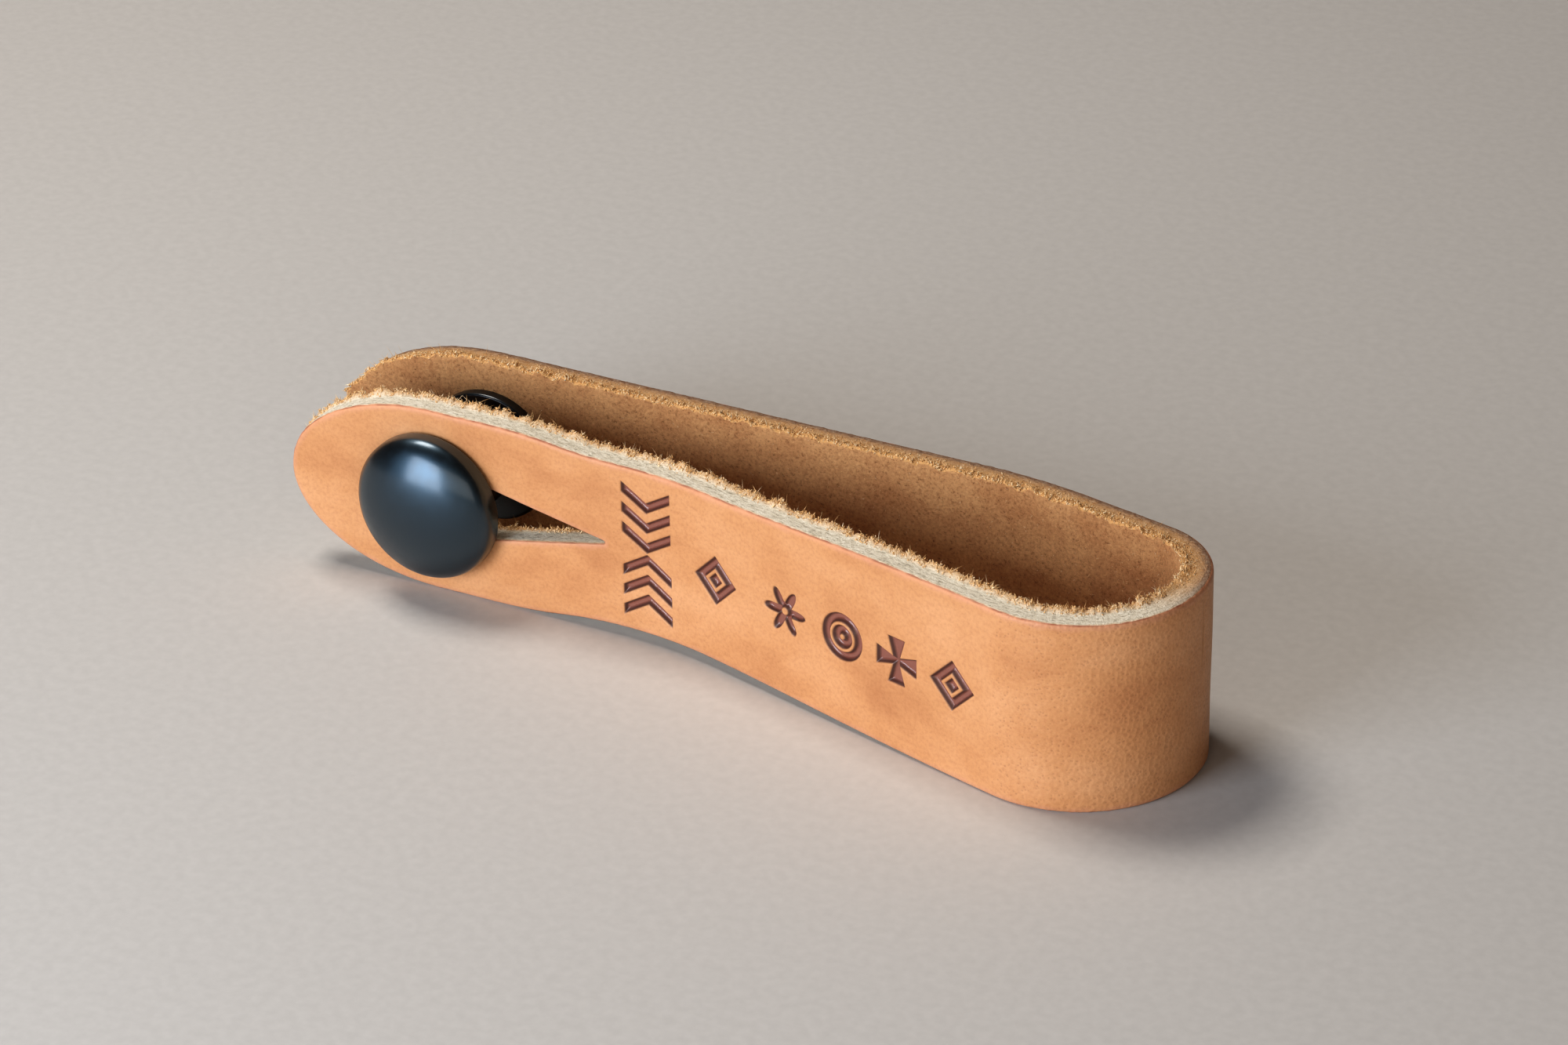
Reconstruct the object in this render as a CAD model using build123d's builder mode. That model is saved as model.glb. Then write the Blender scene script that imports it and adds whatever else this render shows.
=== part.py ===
"""Leather strap keeper: a strip folded into a loop and buttoned on a domed stud.

The strap stands on its long edges. +X runs towards the fold, +Y towards the rear leaf and +Z up.
The origin is at the middle of the bounding box, at the bottom.
"""

import os
from math import asin, atan2, cos, pi, sin, tan

from build123d import *

os.makedirs("parts", exist_ok=True)

# Strap
strap_width = 20.0
hide_thickness = 3.0
folded_length = 99.5
front_end_inset = 0.8
waist_width = 18.0
waist_from_fold = 60.0
taper_from_fold = 14.0
flare_length = 16.0

# Loop, seen from above, measured on the outer face
loop_depth = 25.3
button_depth = 14.3
front_radius = 12.5
fold_flat = 0.4
shoulder_length = 22.3
shoulder_drop = 4.8
shoulder_radius = 60.0
bend_from_fold = 56.0
bend_radius = 45.0

# Stud and keyhole
stud_from_fold = 82.0
neck_diameter = 7.8
keyhole_clearance = 0.15
slit_from_fold = 62.7
slit_tip_radius = 0.15
tab_seam_from_slit = 3.0
flange_diameter = 14.0
flange_thickness = 1.2
cap_gap = 0.3
cap_diameter = 15.3
cap_sheet = 0.4
cap_rim = 1.2
cap_rise = 3.2
cap_roll = 0.4
lip_diameter = 12.6
plate_clearance = 0.02

# Screw
screw_diameter = 4.0
screw_engagement = 7.0
bore_spare = 1.0
thread_clearance = 0.05
leather_clearance = 0.06
screw_head_diameter = 9.4
screw_head_height = 1.4
screw_head_rounding = 0.6
slot_width = 1.2
slot_depth = 0.8

# Plan points: the outer face is the driving line
fold_x = folded_length / 2
rear_y = (loop_depth - screw_head_height) / 2
front_y = rear_y - button_depth
mid_height = strap_width / 2
stud_x = fold_x - stud_from_fold
front_end_x = -fold_x + front_end_inset
seam_x = fold_x - slit_from_fold + tab_seam_from_slit

front_centre = Vector(fold_x - front_radius, rear_y - loop_depth + front_radius)
bend = Vector(fold_x - bend_from_fold, front_y)
reach = front_centre - bend
front_slope = asin(front_radius / reach.length) - atan2(reach.Y, reach.X)
front_corner = Vector(fold_x, front_y - tan(front_slope) * bend_from_fold)
rear_corner = Vector(fold_x, rear_y - shoulder_drop)
shoulder = Vector(fold_x - shoulder_length, rear_y)

# The rear arc takes what the front arc and the shoulder leave of the loop's depth
rear_turn = pi / 2 - atan2(shoulder_drop, shoulder_length)
rear_tangent = loop_depth - front_radius - shoulder_drop - fold_flat
rear_radius = rear_tangent / tan(rear_turn / 2)
rear_centre = Vector(fold_x - rear_radius, rear_corner.Y - rear_tangent)

# Hinge lines stand on the outer face, halfway round each arc of the fold
rear_hinge_angle = rear_turn / 2
front_hinge_angle = -(pi / 2 + front_slope) / 2
rear_hinge = rear_centre + Vector(cos(rear_hinge_angle), sin(rear_hinge_angle)) * rear_radius
front_hinge = front_centre + Vector(cos(front_hinge_angle), sin(front_hinge_angle)) * front_radius


def upright(start, end):
    """Vertical plane through two plan points, facing left of the way from start to end."""
    along = (end - start).normalized()
    return Plane(origin=start, x_dir=along, z_dir=(-along.Y, along.X, 0))


gap_middle = Vector(-fold_x, rear_y - button_depth / 2)
rear_seam = upright(rear_centre, rear_hinge)
front_seam = upright(front_centre, front_hinge)
between_leaves = upright(rear_centre, gap_middle)
tab_seam = Plane(origin=(seam_x, 0, 0), z_dir=(1, 0, 0))
side = Plane(origin=(0, 0, mid_height), x_dir=(1, 0, 0), z_dir=(0, -1, 0))

def inset_line(inset):
    """The strap's plan line, moved inwards from the outer face, as corners and fillet radii."""
    corners = [
        Vector(front_end_x, front_y),
        bend,
        front_corner,
        rear_corner,
        shoulder,
        Vector(-fold_x, rear_y),
    ]
    ways = [(end - start).normalized() for start, end in zip(corners, corners[1:])]
    inward = [Vector(-way.Y, way.X) for way in ways]
    moved = [corners[0] + inward[0] * inset]
    for corner, before, after in zip(corners[1:-1], inward, inward[1:]):
        moved.append(corner + (before + after) * (inset / (1 + before.dot(after))))
    moved.append(corners[-1] + inward[-1] * inset)
    radii = [bend_radius + inset]
    radii += [radius - inset for radius in (front_radius, rear_radius, shoulder_radius)]
    return moved, radii


# The whole strap from above
outer_corners, outer_radii = inset_line(0)
inner_corners, inner_radii = inset_line(hide_thickness)
with BuildSketch() as strap_plan:
    with BuildLine():
        FilletPolyline(*outer_corners, radius=outer_radii)
        FilletPolyline(*inner_corners, radius=inner_radii)
        Line(outer_corners[0], inner_corners[0])
        Line(outer_corners[-1], inner_corners[-1])
    make_face()

# The rear leaf from the side: straight edges and a rounded end
with BuildSketch(side) as rear_outline:
    with BuildLine():
        Polyline((fold_x, 0), (fold_x, mid_height), (stud_x, mid_height))
        EllipticalCenterArc((stud_x, 0), stud_x + fold_x, mid_height, 90, arc_size=90)
        mirror(about=Plane.XZ)
    make_face()

# The front leaf from the side: it narrows to a waist and flares into the buttoning tab
with BuildSketch(side) as front_outline:
    taper_x = fold_x - taper_from_fold
    waist_x = fold_x - waist_from_fold
    flare_x = waist_x - flare_length
    half_waist = waist_width / 2
    with BuildLine():
        Polyline((fold_x, 0), (fold_x, mid_height), (taper_x, mid_height))
        taper_middle = (taper_x + waist_x) / 2
        Bezier(
            (taper_x, mid_height),
            (taper_middle, mid_height),
            (taper_middle, half_waist),
            (waist_x, half_waist),
        )
        flare_middle = (waist_x + flare_x) / 2
        Bezier(
            (waist_x, half_waist),
            (flare_middle, half_waist),
            (flare_middle, mid_height),
            (flare_x, mid_height),
        )
        Line((flare_x, mid_height), (stud_x, mid_height))
        EllipticalCenterArc((stud_x, 0), stud_x - front_end_x, mid_height, 90, arc_size=90)
        mirror(about=Plane.XZ)
    make_face()

# Keyhole: a hole for the neck, opened towards the fold by a slit that tapers to its tip
keyhole_radius = neck_diameter / 2 + keyhole_clearance
slit_tip_x = fold_x - slit_from_fold - slit_tip_radius
with BuildSketch(side) as keyhole:
    with Locations((stud_x, 0)):
        Circle(keyhole_radius)
    with Locations((slit_tip_x, 0)):
        Circle(slit_tip_radius)
    make_hull()


def trim_strap(outline):
    """Full-height strap in the current part, trimmed to a side outline."""
    extrude(strap_plan.sketch, amount=strap_width)
    extrude(outline.sketch, amount=folded_length, both=True, mode=Mode.INTERSECT)


with BuildPart() as rear_leaf:
    trim_strap(rear_outline)
    split(bisect_by=rear_seam, keep=Keep.TOP)
    split(bisect_by=between_leaves, keep=Keep.BOTTOM)
    with BuildSketch(side):
        with Locations((stud_x, 0)):
            Circle(screw_diameter / 2 + leather_clearance)
    extrude(amount=folded_length, both=True, mode=Mode.SUBTRACT)

with BuildPart() as fold_band:
    extrude(strap_plan.sketch, amount=strap_width)
    split(bisect_by=rear_seam, keep=Keep.BOTTOM)
    split(bisect_by=front_seam, keep=Keep.TOP)

with BuildPart() as front_leaf:
    trim_strap(front_outline)
    split(bisect_by=front_seam, keep=Keep.BOTTOM)
    split(bisect_by=between_leaves, keep=Keep.TOP)
    split(bisect_by=tab_seam, keep=Keep.TOP)

with BuildPart() as keyhole_tab:
    trim_strap(front_outline)
    split(bisect_by=between_leaves, keep=Keep.TOP)
    split(bisect_by=tab_seam, keep=Keep.BOTTOM)
    extrude(keyhole.sketch, amount=folded_length, both=True, mode=Mode.SUBTRACT)

# Stud profiles: x is the radius and y the place along the axis, from the rear leaf's outer face
profile = Plane(origin=(stud_x, rear_y, mid_height), x_dir=(1, 0, 0), z_dir=(0, 0, 1))
stud_axis = Axis((stud_x, rear_y, mid_height), (0, 1, 0))
cap_back = -button_depth - cap_gap
rim_y = cap_back - cap_rim
cap_radius = cap_diameter / 2
plate_back = cap_back - cap_sheet
bore_end = -hide_thickness - screw_engagement - bore_spare

with BuildPart() as dome_cap:
    with BuildSketch(profile) as cap_section:
        with BuildLine():
            EllipticalCenterArc((0, rim_y), cap_radius, cap_rise, start_angle=270, arc_size=90)
            Polyline(
                (cap_radius, rim_y),
                (cap_radius, cap_back),
                (lip_diameter / 2, cap_back),
                (lip_diameter / 2, plate_back),
                (cap_radius - cap_sheet, plate_back),
                (cap_radius - cap_sheet, rim_y),
            )
            EllipticalCenterArc(
                (0, rim_y),
                cap_radius - cap_sheet,
                cap_rise - cap_sheet,
                start_angle=270,
                arc_size=90,
            )
            Line((0, rim_y - cap_rise + cap_sheet), (0, rim_y - cap_rise))
        make_face()
        rolled_corner = cap_section.vertices().sort_by_distance((cap_radius, cap_back))[0]
        fillet(rolled_corner, cap_roll)
    revolve(axis=stud_axis)

with BuildPart() as stud_post:
    with BuildSketch(profile):
        with BuildLine():
            Polyline(
                (0, bore_end),
                (screw_diameter / 2 + thread_clearance, bore_end),
                (screw_diameter / 2 + thread_clearance, -hide_thickness),
                (flange_diameter / 2, -hide_thickness),
                (flange_diameter / 2, -hide_thickness - flange_thickness),
                (neck_diameter / 2, -hide_thickness - flange_thickness),
                (neck_diameter / 2, plate_back),
                (cap_radius - cap_sheet - plate_clearance, plate_back),
                (cap_radius - cap_sheet - plate_clearance, rim_y),
                (0, rim_y),
                close=True,
            )
        make_face()
    revolve(axis=stud_axis)

with BuildPart() as back_screw:
    with BuildSketch(profile) as screw_section:
        with BuildLine():
            Polyline(
                (0, screw_head_height),
                (screw_head_diameter / 2, screw_head_height),
                (screw_head_diameter / 2, 0),
                (screw_diameter / 2, 0),
                (screw_diameter / 2, -hide_thickness - screw_engagement),
                (0, -hide_thickness - screw_engagement),
                close=True,
            )
        make_face()
        head_corner = (screw_head_diameter / 2, screw_head_height)
        fillet(screw_section.vertices().sort_by_distance(head_corner)[0], screw_head_rounding)
    revolve(axis=stud_axis)
    with BuildSketch(side.offset(-rear_y - screw_head_height)):
        with Locations((stud_x, 0)):
            Rectangle(slot_width, screw_head_diameter)
    extrude(amount=slot_depth, mode=Mode.SUBTRACT)

named_parts = {
    "rear_leaf": rear_leaf,
    "fold_band": fold_band,
    "front_leaf": front_leaf,
    "keyhole_tab": keyhole_tab,
    "dome_cap": dome_cap,
    "stud_post": stud_post,
    "back_screw": back_screw,
}
for name, built in named_parts.items():
    built.part.label = name
    export_step(built.part, f"parts/{name}.step")

print(f"rear hinge line at x {rear_hinge.X:.4f}, y {rear_hinge.Y:.4f}")
print(f"front hinge line at x {front_hinge.X:.4f}, y {front_hinge.Y:.4f}")
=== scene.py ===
"""Looks of a leather strap keeper with a domed button stud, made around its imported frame.

The classes hold their sizes in millimetres, as a leatherworker gives them. Meshes are turned
to metres where they are made. A place on the strap is given by three values: how far along the
outer face it lies from the buttoning end, how high above the strap's middle line, and how deep
below the grain.
"""

import logging
import math
from dataclasses import dataclass, field
from enum import Enum
from functools import partial

import bmesh
import bpy
import numpy as np
from mathutils import Matrix, Vector, noise
from mathutils.geometry import delaunay_2d_cdt


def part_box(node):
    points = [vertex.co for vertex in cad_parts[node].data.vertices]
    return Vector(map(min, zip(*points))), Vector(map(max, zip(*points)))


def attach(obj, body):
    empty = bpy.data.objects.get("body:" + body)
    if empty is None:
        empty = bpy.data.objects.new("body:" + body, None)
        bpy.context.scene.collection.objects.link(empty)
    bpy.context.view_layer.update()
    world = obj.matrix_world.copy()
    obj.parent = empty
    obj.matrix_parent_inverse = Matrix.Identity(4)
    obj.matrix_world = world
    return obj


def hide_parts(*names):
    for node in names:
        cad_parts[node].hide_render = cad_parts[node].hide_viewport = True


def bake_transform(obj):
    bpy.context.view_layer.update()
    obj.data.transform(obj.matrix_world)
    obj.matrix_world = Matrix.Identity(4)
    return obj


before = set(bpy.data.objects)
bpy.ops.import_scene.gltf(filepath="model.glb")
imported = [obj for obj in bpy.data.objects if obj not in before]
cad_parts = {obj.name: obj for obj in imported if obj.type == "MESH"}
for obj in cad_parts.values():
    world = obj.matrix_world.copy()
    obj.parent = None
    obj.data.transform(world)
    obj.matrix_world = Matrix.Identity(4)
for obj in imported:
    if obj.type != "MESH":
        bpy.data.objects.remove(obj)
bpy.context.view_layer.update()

MM = 0.001
HIDE = 3.0  # the leather's thickness
log = logging.getLogger("strap_keeper")


def linear(hex_colour: str) -> tuple[float, float, float, float]:
    """Turn an sRGB hex colour into linear RGBA.

    Args:
        hex_colour: six hex digits after a hash sign.

    Returns:
        The colour as Blender's sockets want it.
    """
    parts = [int(hex_colour[i : i + 2], 16) / 255 for i in (1, 3, 5)]
    straight = [c / 12.92 if c <= 0.04045 else ((c + 0.055) / 1.055) ** 2.4 for c in parts]
    return (*straight, 1.0)


def smooth(values: np.ndarray, low: float, high: float) -> np.ndarray:
    """Smooth step from 0 at low to 1 at high.

    Args:
        values: what to grade.
        low: where the step starts.
        high: where it ends.

    Returns:
        A share from 0 to 1 for each value.
    """
    share = np.clip((values - low) / (high - low), 0, 1)
    return share * share * (3 - 2 * share)


class Side(Enum):
    """Which face of the hide a mesh face belongs to, as its material index."""

    GRAIN = 0
    CUT = 1
    FLESH = 2


class Motif(Enum):
    """The plain stamps pressed into the front leaf."""

    RING = "ring"
    DIAMOND = "diamond"
    ROSETTE = "rosette"
    CROSS = "cross"
    CHEVRON = "chevron"


def noise_at(points: np.ndarray, scale: tuple[float, float], shift: tuple[float, float]) -> np.ndarray:
    """Smooth noise at places on the flattened hide, from about -1 to 1.

    Args:
        points: the places, one a row.
        scale: repeats per millimetre along and across.
        shift: how far the pattern is moved across, and the slice of it that is taken.

    Returns:
        One value for each place.
    """
    across, layer = shift
    return np.array([noise.noise((a * scale[0], b * scale[1] + across, layer)) for a, b in points])


def new_object(name: str, places: np.ndarray, faces: list) -> bpy.types.Object:
    """Add a smooth-shaded mesh to the scene.

    Args:
        name: the object's name.
        places: its points, in millimetres.
        faces: the point numbers of each face.

    Returns:
        The new object.
    """
    mesh = bpy.data.meshes.new(name)
    mesh.from_pydata((places * MM).tolist(), [], faces)
    mesh.polygons.foreach_set("use_smooth", np.ones(len(faces), bool))
    made = bpy.data.objects.new(name, mesh)
    bpy.context.scene.collection.objects.link(made)
    return made


def add_attribute(mesh: bpy.types.Mesh, name: str, values: np.ndarray) -> None:
    """Give each point of a mesh a number or a vector that its material reads."""
    kind, part = ("FLOAT", "value") if values.ndim == 1 else ("FLOAT_VECTOR", "vector")
    mesh.attributes.new(name, kind, "POINT").data.foreach_set(part, values.astype(np.float32).ravel())


# ---------------------------------------------------------------- materials


def set_inputs(tree: bpy.types.NodeTree, node: bpy.types.Node, inputs: dict) -> None:
    """Set or link a node's inputs.

    Args:
        tree: the material's node tree.
        node: the node.
        inputs: what each input takes, by name or number: a socket, a number or a hex colour.
    """
    for name, value in inputs.items():
        if isinstance(value, bpy.types.NodeSocket):
            tree.links.new(value, node.inputs[name])
        else:
            node.inputs[name].default_value = linear(value) if isinstance(value, str) else value


def add_node(
    tree: bpy.types.NodeTree,
    kind: str,
    inputs: dict,
    output: int | str = 0,
    stops: tuple = (),
    **settings: str,
) -> bpy.types.NodeSocket:
    """Add one node with its settings and links.

    Args:
        tree: the material's node tree.
        kind: the node's type name, after its usual prefix.
        inputs: what each input takes, by name or number: a socket, a number or a hex colour.
        output: the name or number of the output that is wanted.
        stops: a ramp's places from 0 to 1, each with its hex colour or grey value.
        settings: the node's own properties.

    Returns:
        The wanted output socket.
    """
    node = tree.nodes.new(f"ShaderNode{kind}")
    for name, value in settings.items():
        setattr(node, name, value)
    set_inputs(tree, node, inputs)
    if stops:
        elements = node.color_ramp.elements
        while len(elements) < len(stops):
            elements.new(0.5)
        for element, (place, value) in zip(elements, stops):
            element.position = place
            element.color = linear(value) if isinstance(value, str) else (value, value, value, 1)
    return node.outputs[output]


def new_material(name: str, viewport: str) -> tuple[bpy.types.Material, bpy.types.NodeTree, bpy.types.Node]:
    """Start a material with a bare principled shader.

    Args:
        name: the material's name.
        viewport: its flat colour, in hex.

    Returns:
        The material, its tree and its principled node.
    """
    material = bpy.data.materials.new(name)
    material.use_nodes = True
    material.diffuse_color = linear(viewport)
    tree = material.node_tree
    return material, tree, tree.nodes["Principled BSDF"]


def hide_place(tree: bpy.types.NodeTree, stretch: tuple[float, float, float]) -> bpy.types.NodeSocket:
    """Place on the hide in millimetres, scaled for a pattern, so that it bends with the leather.

    Args:
        tree: the material's node tree.
        stretch: pattern repeats per millimetre along, across and through the hide.

    Returns:
        The scaled vector socket.
    """
    place = add_node(tree, "Attribute", {}, "Vector", attribute_name="hide_mm")
    return add_node(tree, "VectorMath", {0: place, 1: stretch}, operation="MULTIPLY")


def cloud(
    tree: bpy.types.NodeTree,
    stretch: tuple[float, float, float],
    detail: float = 3.0,
    roughness: float = 0.55,
) -> bpy.types.NodeSocket:
    """Soft uneven pattern on the hide.

    Args:
        tree: the material's node tree.
        stretch: repeats per millimetre along, across and through the hide.
        detail: octaves.
        roughness: how strong the finer octaves are.

    Returns:
        The pattern's socket, about 0.5 on average.
    """
    inputs = {"Vector": hide_place(tree, stretch), "Scale": 1.0, "Detail": detail, "Roughness": roughness}
    return add_node(tree, "TexNoise", inputs)


@dataclass(frozen=True)
class VegTanGrain:
    """Vegetable-tanned leather, undyed and oiled, glazed smooth on the grain side.

    It reads as warm tan with soft clouds, fine pores and a low waxy shine. The pores are
    deeper and darker where the hide is bent round the fold. A pale pink band along the trimmed
    rim is a painted highlight, and a broken dark line runs beside it.

    Attributes:
        pore_mm: the pores' spacing, about twice the real one so that they show.
        cloud_mm: the width of the soft clouds.
        speck_mm: the width of the fine mottling.
        rim_highlight_mm: how far in from the cut the painted rim highlight reaches.
        line_mm: the width of the broken dark line along the rim.
    """

    light: str = "#E3AA79"
    middle: str = "#D99D6A"
    dark: str = "#C88A5A"
    speck: str = "#B8794E"
    pore: str = "#8A5230"
    # The rim colour is a painted highlight: the pink glint that the rounded edge shows where light catches
    # it.
    rim: str = "#DFA187"
    rim_line: str = "#8E4B36"
    # The stamps' wall colour: its darkness is painted shade in the recess, and their floors keep the pressed
    # leather's own colour.
    stamp: str = "#4C2725"
    stamp_floor: str = "#8C5347"
    stamp_gloss: str = "#868686"
    pore_mm: float = 0.42
    cloud_mm: float = 9.0
    speck_mm: float = 0.4
    rim_highlight_mm: float = 0.95
    line_mm: float = 0.4
    roughness: float = 0.5
    ior: float = 1.4

    def make(self) -> bpy.types.Material:
        """Build the grain material."""
        material, tree, shader = new_material("veg_tan_grain", self.middle)
        add = partial(add_node, tree)
        wide, fine = 1 / self.cloud_mm, 1 / self.speck_mm
        clouds = cloud(tree, (wide * 0.6, wide, wide), 4.0, 0.6)
        shades = ((0.3, self.dark), (0.48, self.middle), (0.66, self.light))
        colour = add("ValToRGB", {0: clouds}, stops=shades)
        mottle = cloud(tree, (fine, fine, fine), 4.0, 0.65)
        speck = add("ValToRGB", {0: mottle}, stops=((0.34, self.speck), (0.56, "#FFFFFF")))
        colour = add("Mix", {0: 0.17, 6: colour, 7: speck}, 2, data_type="RGBA", blend_type="MULTIPLY")
        # Pores, which open where the hide is bent
        bend = add("Attribute", {}, "Fac", attribute_name="bend")
        pore = add("TexVoronoi", {"Vector": hide_place(tree, (1 / self.pore_mm,) * 3), "Scale": 1.0})
        shade = add("ValToRGB", {0: pore}, stops=((0.0, self.pore), (0.34, "#FFFFFF")))
        share = add("Math", {0: bend, 1: 0.30, 2: 0.10}, operation="MULTIPLY_ADD")
        colour = add("Mix", {0: share, 6: colour, 7: shade}, 2, data_type="RGBA", blend_type="MULTIPLY")
        # A pale pink band along the rim, a painted highlight, and the broken dark line beside it
        edge = add("Attribute", {}, "Fac", attribute_name="edge_mm")
        wobble = cloud(tree, (0.5, 0.5, 0.5))
        ragged = add("Math", {0: wobble, 1: 0.9, 2: edge}, operation="MULTIPLY_ADD")
        ragged = add("Math", {0: ragged, 1: self.rim_highlight_mm * 2}, operation="DIVIDE")
        rim = add("ValToRGB", {0: ragged}, stops=((0.28, 1.0), (0.62, 0.0)))
        rim = add("Math", {0: rim, 1: 0.45}, operation="MULTIPLY")
        colour = add("Mix", {0: rim, 6: colour, 7: self.rim}, 2, data_type="RGBA")
        line = add("Math", {0: edge, 1: self.line_mm}, operation="DIVIDE")
        line = add("ValToRGB", {0: line}, stops=((0.10, 1.0), (0.45, 0.0)))
        broken = add("ValToRGB", {0: wobble}, stops=((0.4, 0.25), (0.58, 0.85)))
        line = add("Math", {0: line, 1: broken}, operation="MULTIPLY")
        colour = add("Mix", {0: line, 6: colour, 7: self.rim_line}, 2, data_type="RGBA")
        # The stamps: the pressed leather's own purple-brown on their floors, and darker on their walls,
        # painted shade in the recess
        stamp = add("Attribute", {}, "Fac", attribute_name="stamp")
        pressed = add("ValToRGB", {0: stamp}, stops=((0.05, 0.0), (0.3, 0.95)))
        shades = ((0.12, self.stamp), (0.6, self.stamp), (0.97, self.stamp_floor))
        stamp_colour_with_wall_shade = add("ValToRGB", {0: stamp}, stops=shades)
        colour = add("Mix", {0: pressed, 6: colour, 7: stamp_colour_with_wall_shade}, 2, data_type="RGBA")
        gloss = ((0.3, self.roughness + 0.08), (0.7, self.roughness - 0.05))
        gloss = add("ValToRGB", {0: mottle}, stops=gloss)
        gloss = add("Mix", {0: stamp, 6: gloss, 7: self.stamp_gloss}, 2, data_type="RGBA")
        relief = cloud(tree, (0.55, 0.7, 0.6))
        relief = add("Bump", {"Height": relief, "Distance": 0.06 * MM, "Strength": 0.5})
        open_pore = add("Math", {0: bend, 1: 1.3, 2: 0.3}, operation="MULTIPLY_ADD")
        pebble = add("Math", {0: pore, 1: open_pore}, operation="MULTIPLY")
        relief = add("Bump", {"Height": pebble, "Distance": 0.06 * MM, "Strength": 0.6, "Normal": relief})
        relief = add("Bump", {"Height": mottle, "Distance": 0.02 * MM, "Strength": 0.5, "Normal": relief})
        level = add("Math", {0: pressed, 1: 0.5, 2: 0.5}, operation="MULTIPLY_ADD")
        finish = {"Base Color": colour, "Roughness": gloss, "Normal": relief, "Specular IOR Level": level}
        set_inputs(tree, shader, {**finish, "IOR": self.ior})
        return material


@dataclass(frozen=True)
class RawCutEdge:
    """The knife-cut edge of undyed veg tan, left raw.

    The fibre bundles show as pale grey-cream streaks along the strap, rough and dry. From
    just before the fold round to the rear end it is brown and gold, in ragged bands.

    Attributes:
        loosened: the colour close under the grain and towards the flesh side.
        streak_mm: the width of a fibre bundle.
    """

    pale: str = "#F8F0DE"
    middle: str = "#E2D7C0"
    dark: str = "#8A7C62"
    dark_brown: str = "#7A5033"
    tan: str = "#B58250"
    gold: str = "#DDA869"
    loosened: str = "#DFB27C"
    streak_mm: float = 0.2
    roughness: float = 0.88

    def make(self) -> bpy.types.Material:
        """Build the cut edge's material."""
        material, tree, shader = new_material("raw_cut_edge", self.middle)
        add = partial(add_node, tree)
        across = 1 / self.streak_mm
        streaks = cloud(tree, (1.3, across * 0.6, across), 5.0, 0.7)
        shades = ((0.32, self.dark), (0.46, self.middle), (0.6, self.pale))
        colour = add("ValToRGB", {0: streaks}, stops=shades)
        tufts = cloud(tree, (2.4, 2.4, 2.4), 4.0, 0.7)
        paler = add("Math", {0: tufts, 1: 0.35}, operation="MULTIPLY")
        colour = add("Mix", {0: paler, 6: colour, 7: self.pale}, 2, data_type="RGBA")
        # Warmer close under the grain and towards the loosened flesh side
        depth = add("SeparateXYZ", {0: hide_place(tree, (1, 1, 1))}, "Z")
        warm = add("Math", {0: depth, 1: HIDE}, operation="DIVIDE")
        warm = add("ValToRGB", {0: warm}, stops=((0.04, 1.0), (0.16, 0.0), (0.62, 0.0), (0.86, 1.0)))
        warm = add("Math", {0: warm, 1: 0.75}, operation="MULTIPLY")
        colour = add("Mix", {0: warm, 6: colour, 7: self.loosened}, 2, data_type="RGBA")
        # Brown and gold in ragged bands from the grain down, over the stretch from the fold round to the
        # rear
        ragged = add("Math", {0: streaks, 1: 1.6, 2: depth}, operation="MULTIPLY_ADD")
        ragged = add("Math", {0: ragged, 1: HIDE}, operation="DIVIDE")
        shades = ((0.44, self.dark_brown), (0.58, self.tan), (0.84, self.gold))
        bands = add("ValToRGB", {0: ragged}, stops=shades)
        brown_edge = add("Attribute", {}, "Fac", attribute_name="brown_edge")
        blotch = add("Math", {0: tufts, 1: 0.7, 2: 0.5}, operation="MULTIPLY_ADD")
        blotch = add("Math", {0: brown_edge, 1: blotch}, operation="MULTIPLY")
        colour = add("Mix", {0: blotch, 6: colour, 7: bands}, 2, data_type="RGBA")
        rough = add("Bump", {"Height": tufts, "Distance": 0.22 * MM, "Strength": 0.9})
        rough = add("Bump", {"Height": streaks, "Distance": 0.12 * MM, "Strength": 0.9, "Normal": rough})
        finish = {"Base Color": colour, "Normal": rough}
        set_inputs(tree, shader, {**finish, "Roughness": self.roughness, "Specular IOR Level": 0.2})
        return material


@dataclass(frozen=True)
class FleshNap:
    """The hide's flesh side, split and left unfinished.

    Loose fibres make it velvety: golden brown, with darker specks between the tufts.

    Attributes:
        cloud: the darker colour of its wide clouds.
        tuft_mm: the width of a tuft.
    """

    light: str = "#EDB880"
    middle: str = "#D39C69"
    dark: str = "#80502F"
    cloud: str = "#B98A68"
    sheen: str = "#E9BE8C"
    tuft_mm: float = 0.32
    roughness: float = 0.92

    def make(self) -> bpy.types.Material:
        """Build the flesh side's material."""
        material, tree, shader = new_material("flesh_nap", self.middle)
        add = partial(add_node, tree)
        wide = 1 / self.tuft_mm
        tufts = cloud(tree, (wide, wide, wide), 5.0, 0.72)
        shades = ((0.27, self.dark), (0.43, self.middle), (0.66, self.light))
        colour = add("ValToRGB", {0: tufts}, stops=shades)
        clouds = cloud(tree, (0.16, 0.22, 0.2))
        shade = add("ValToRGB", {0: clouds}, stops=((0.3, self.cloud), (0.62, "#FFFFFF")))
        colour = add("Mix", {0: 0.45, 6: colour, 7: shade}, 2, data_type="RGBA", blend_type="MULTIPLY")
        rough = add("Bump", {"Height": tufts, "Distance": 0.3 * MM, "Strength": 0.9})
        finish = {"Base Color": colour, "Normal": rough, "Roughness": self.roughness}
        sheen = {"Sheen Weight": 0.15, "Sheen Roughness": 0.5, "Sheen Tint": self.sheen}
        set_inputs(tree, shader, {**finish, **sheen, "Specular IOR Level": 0.2})
        return material


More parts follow.
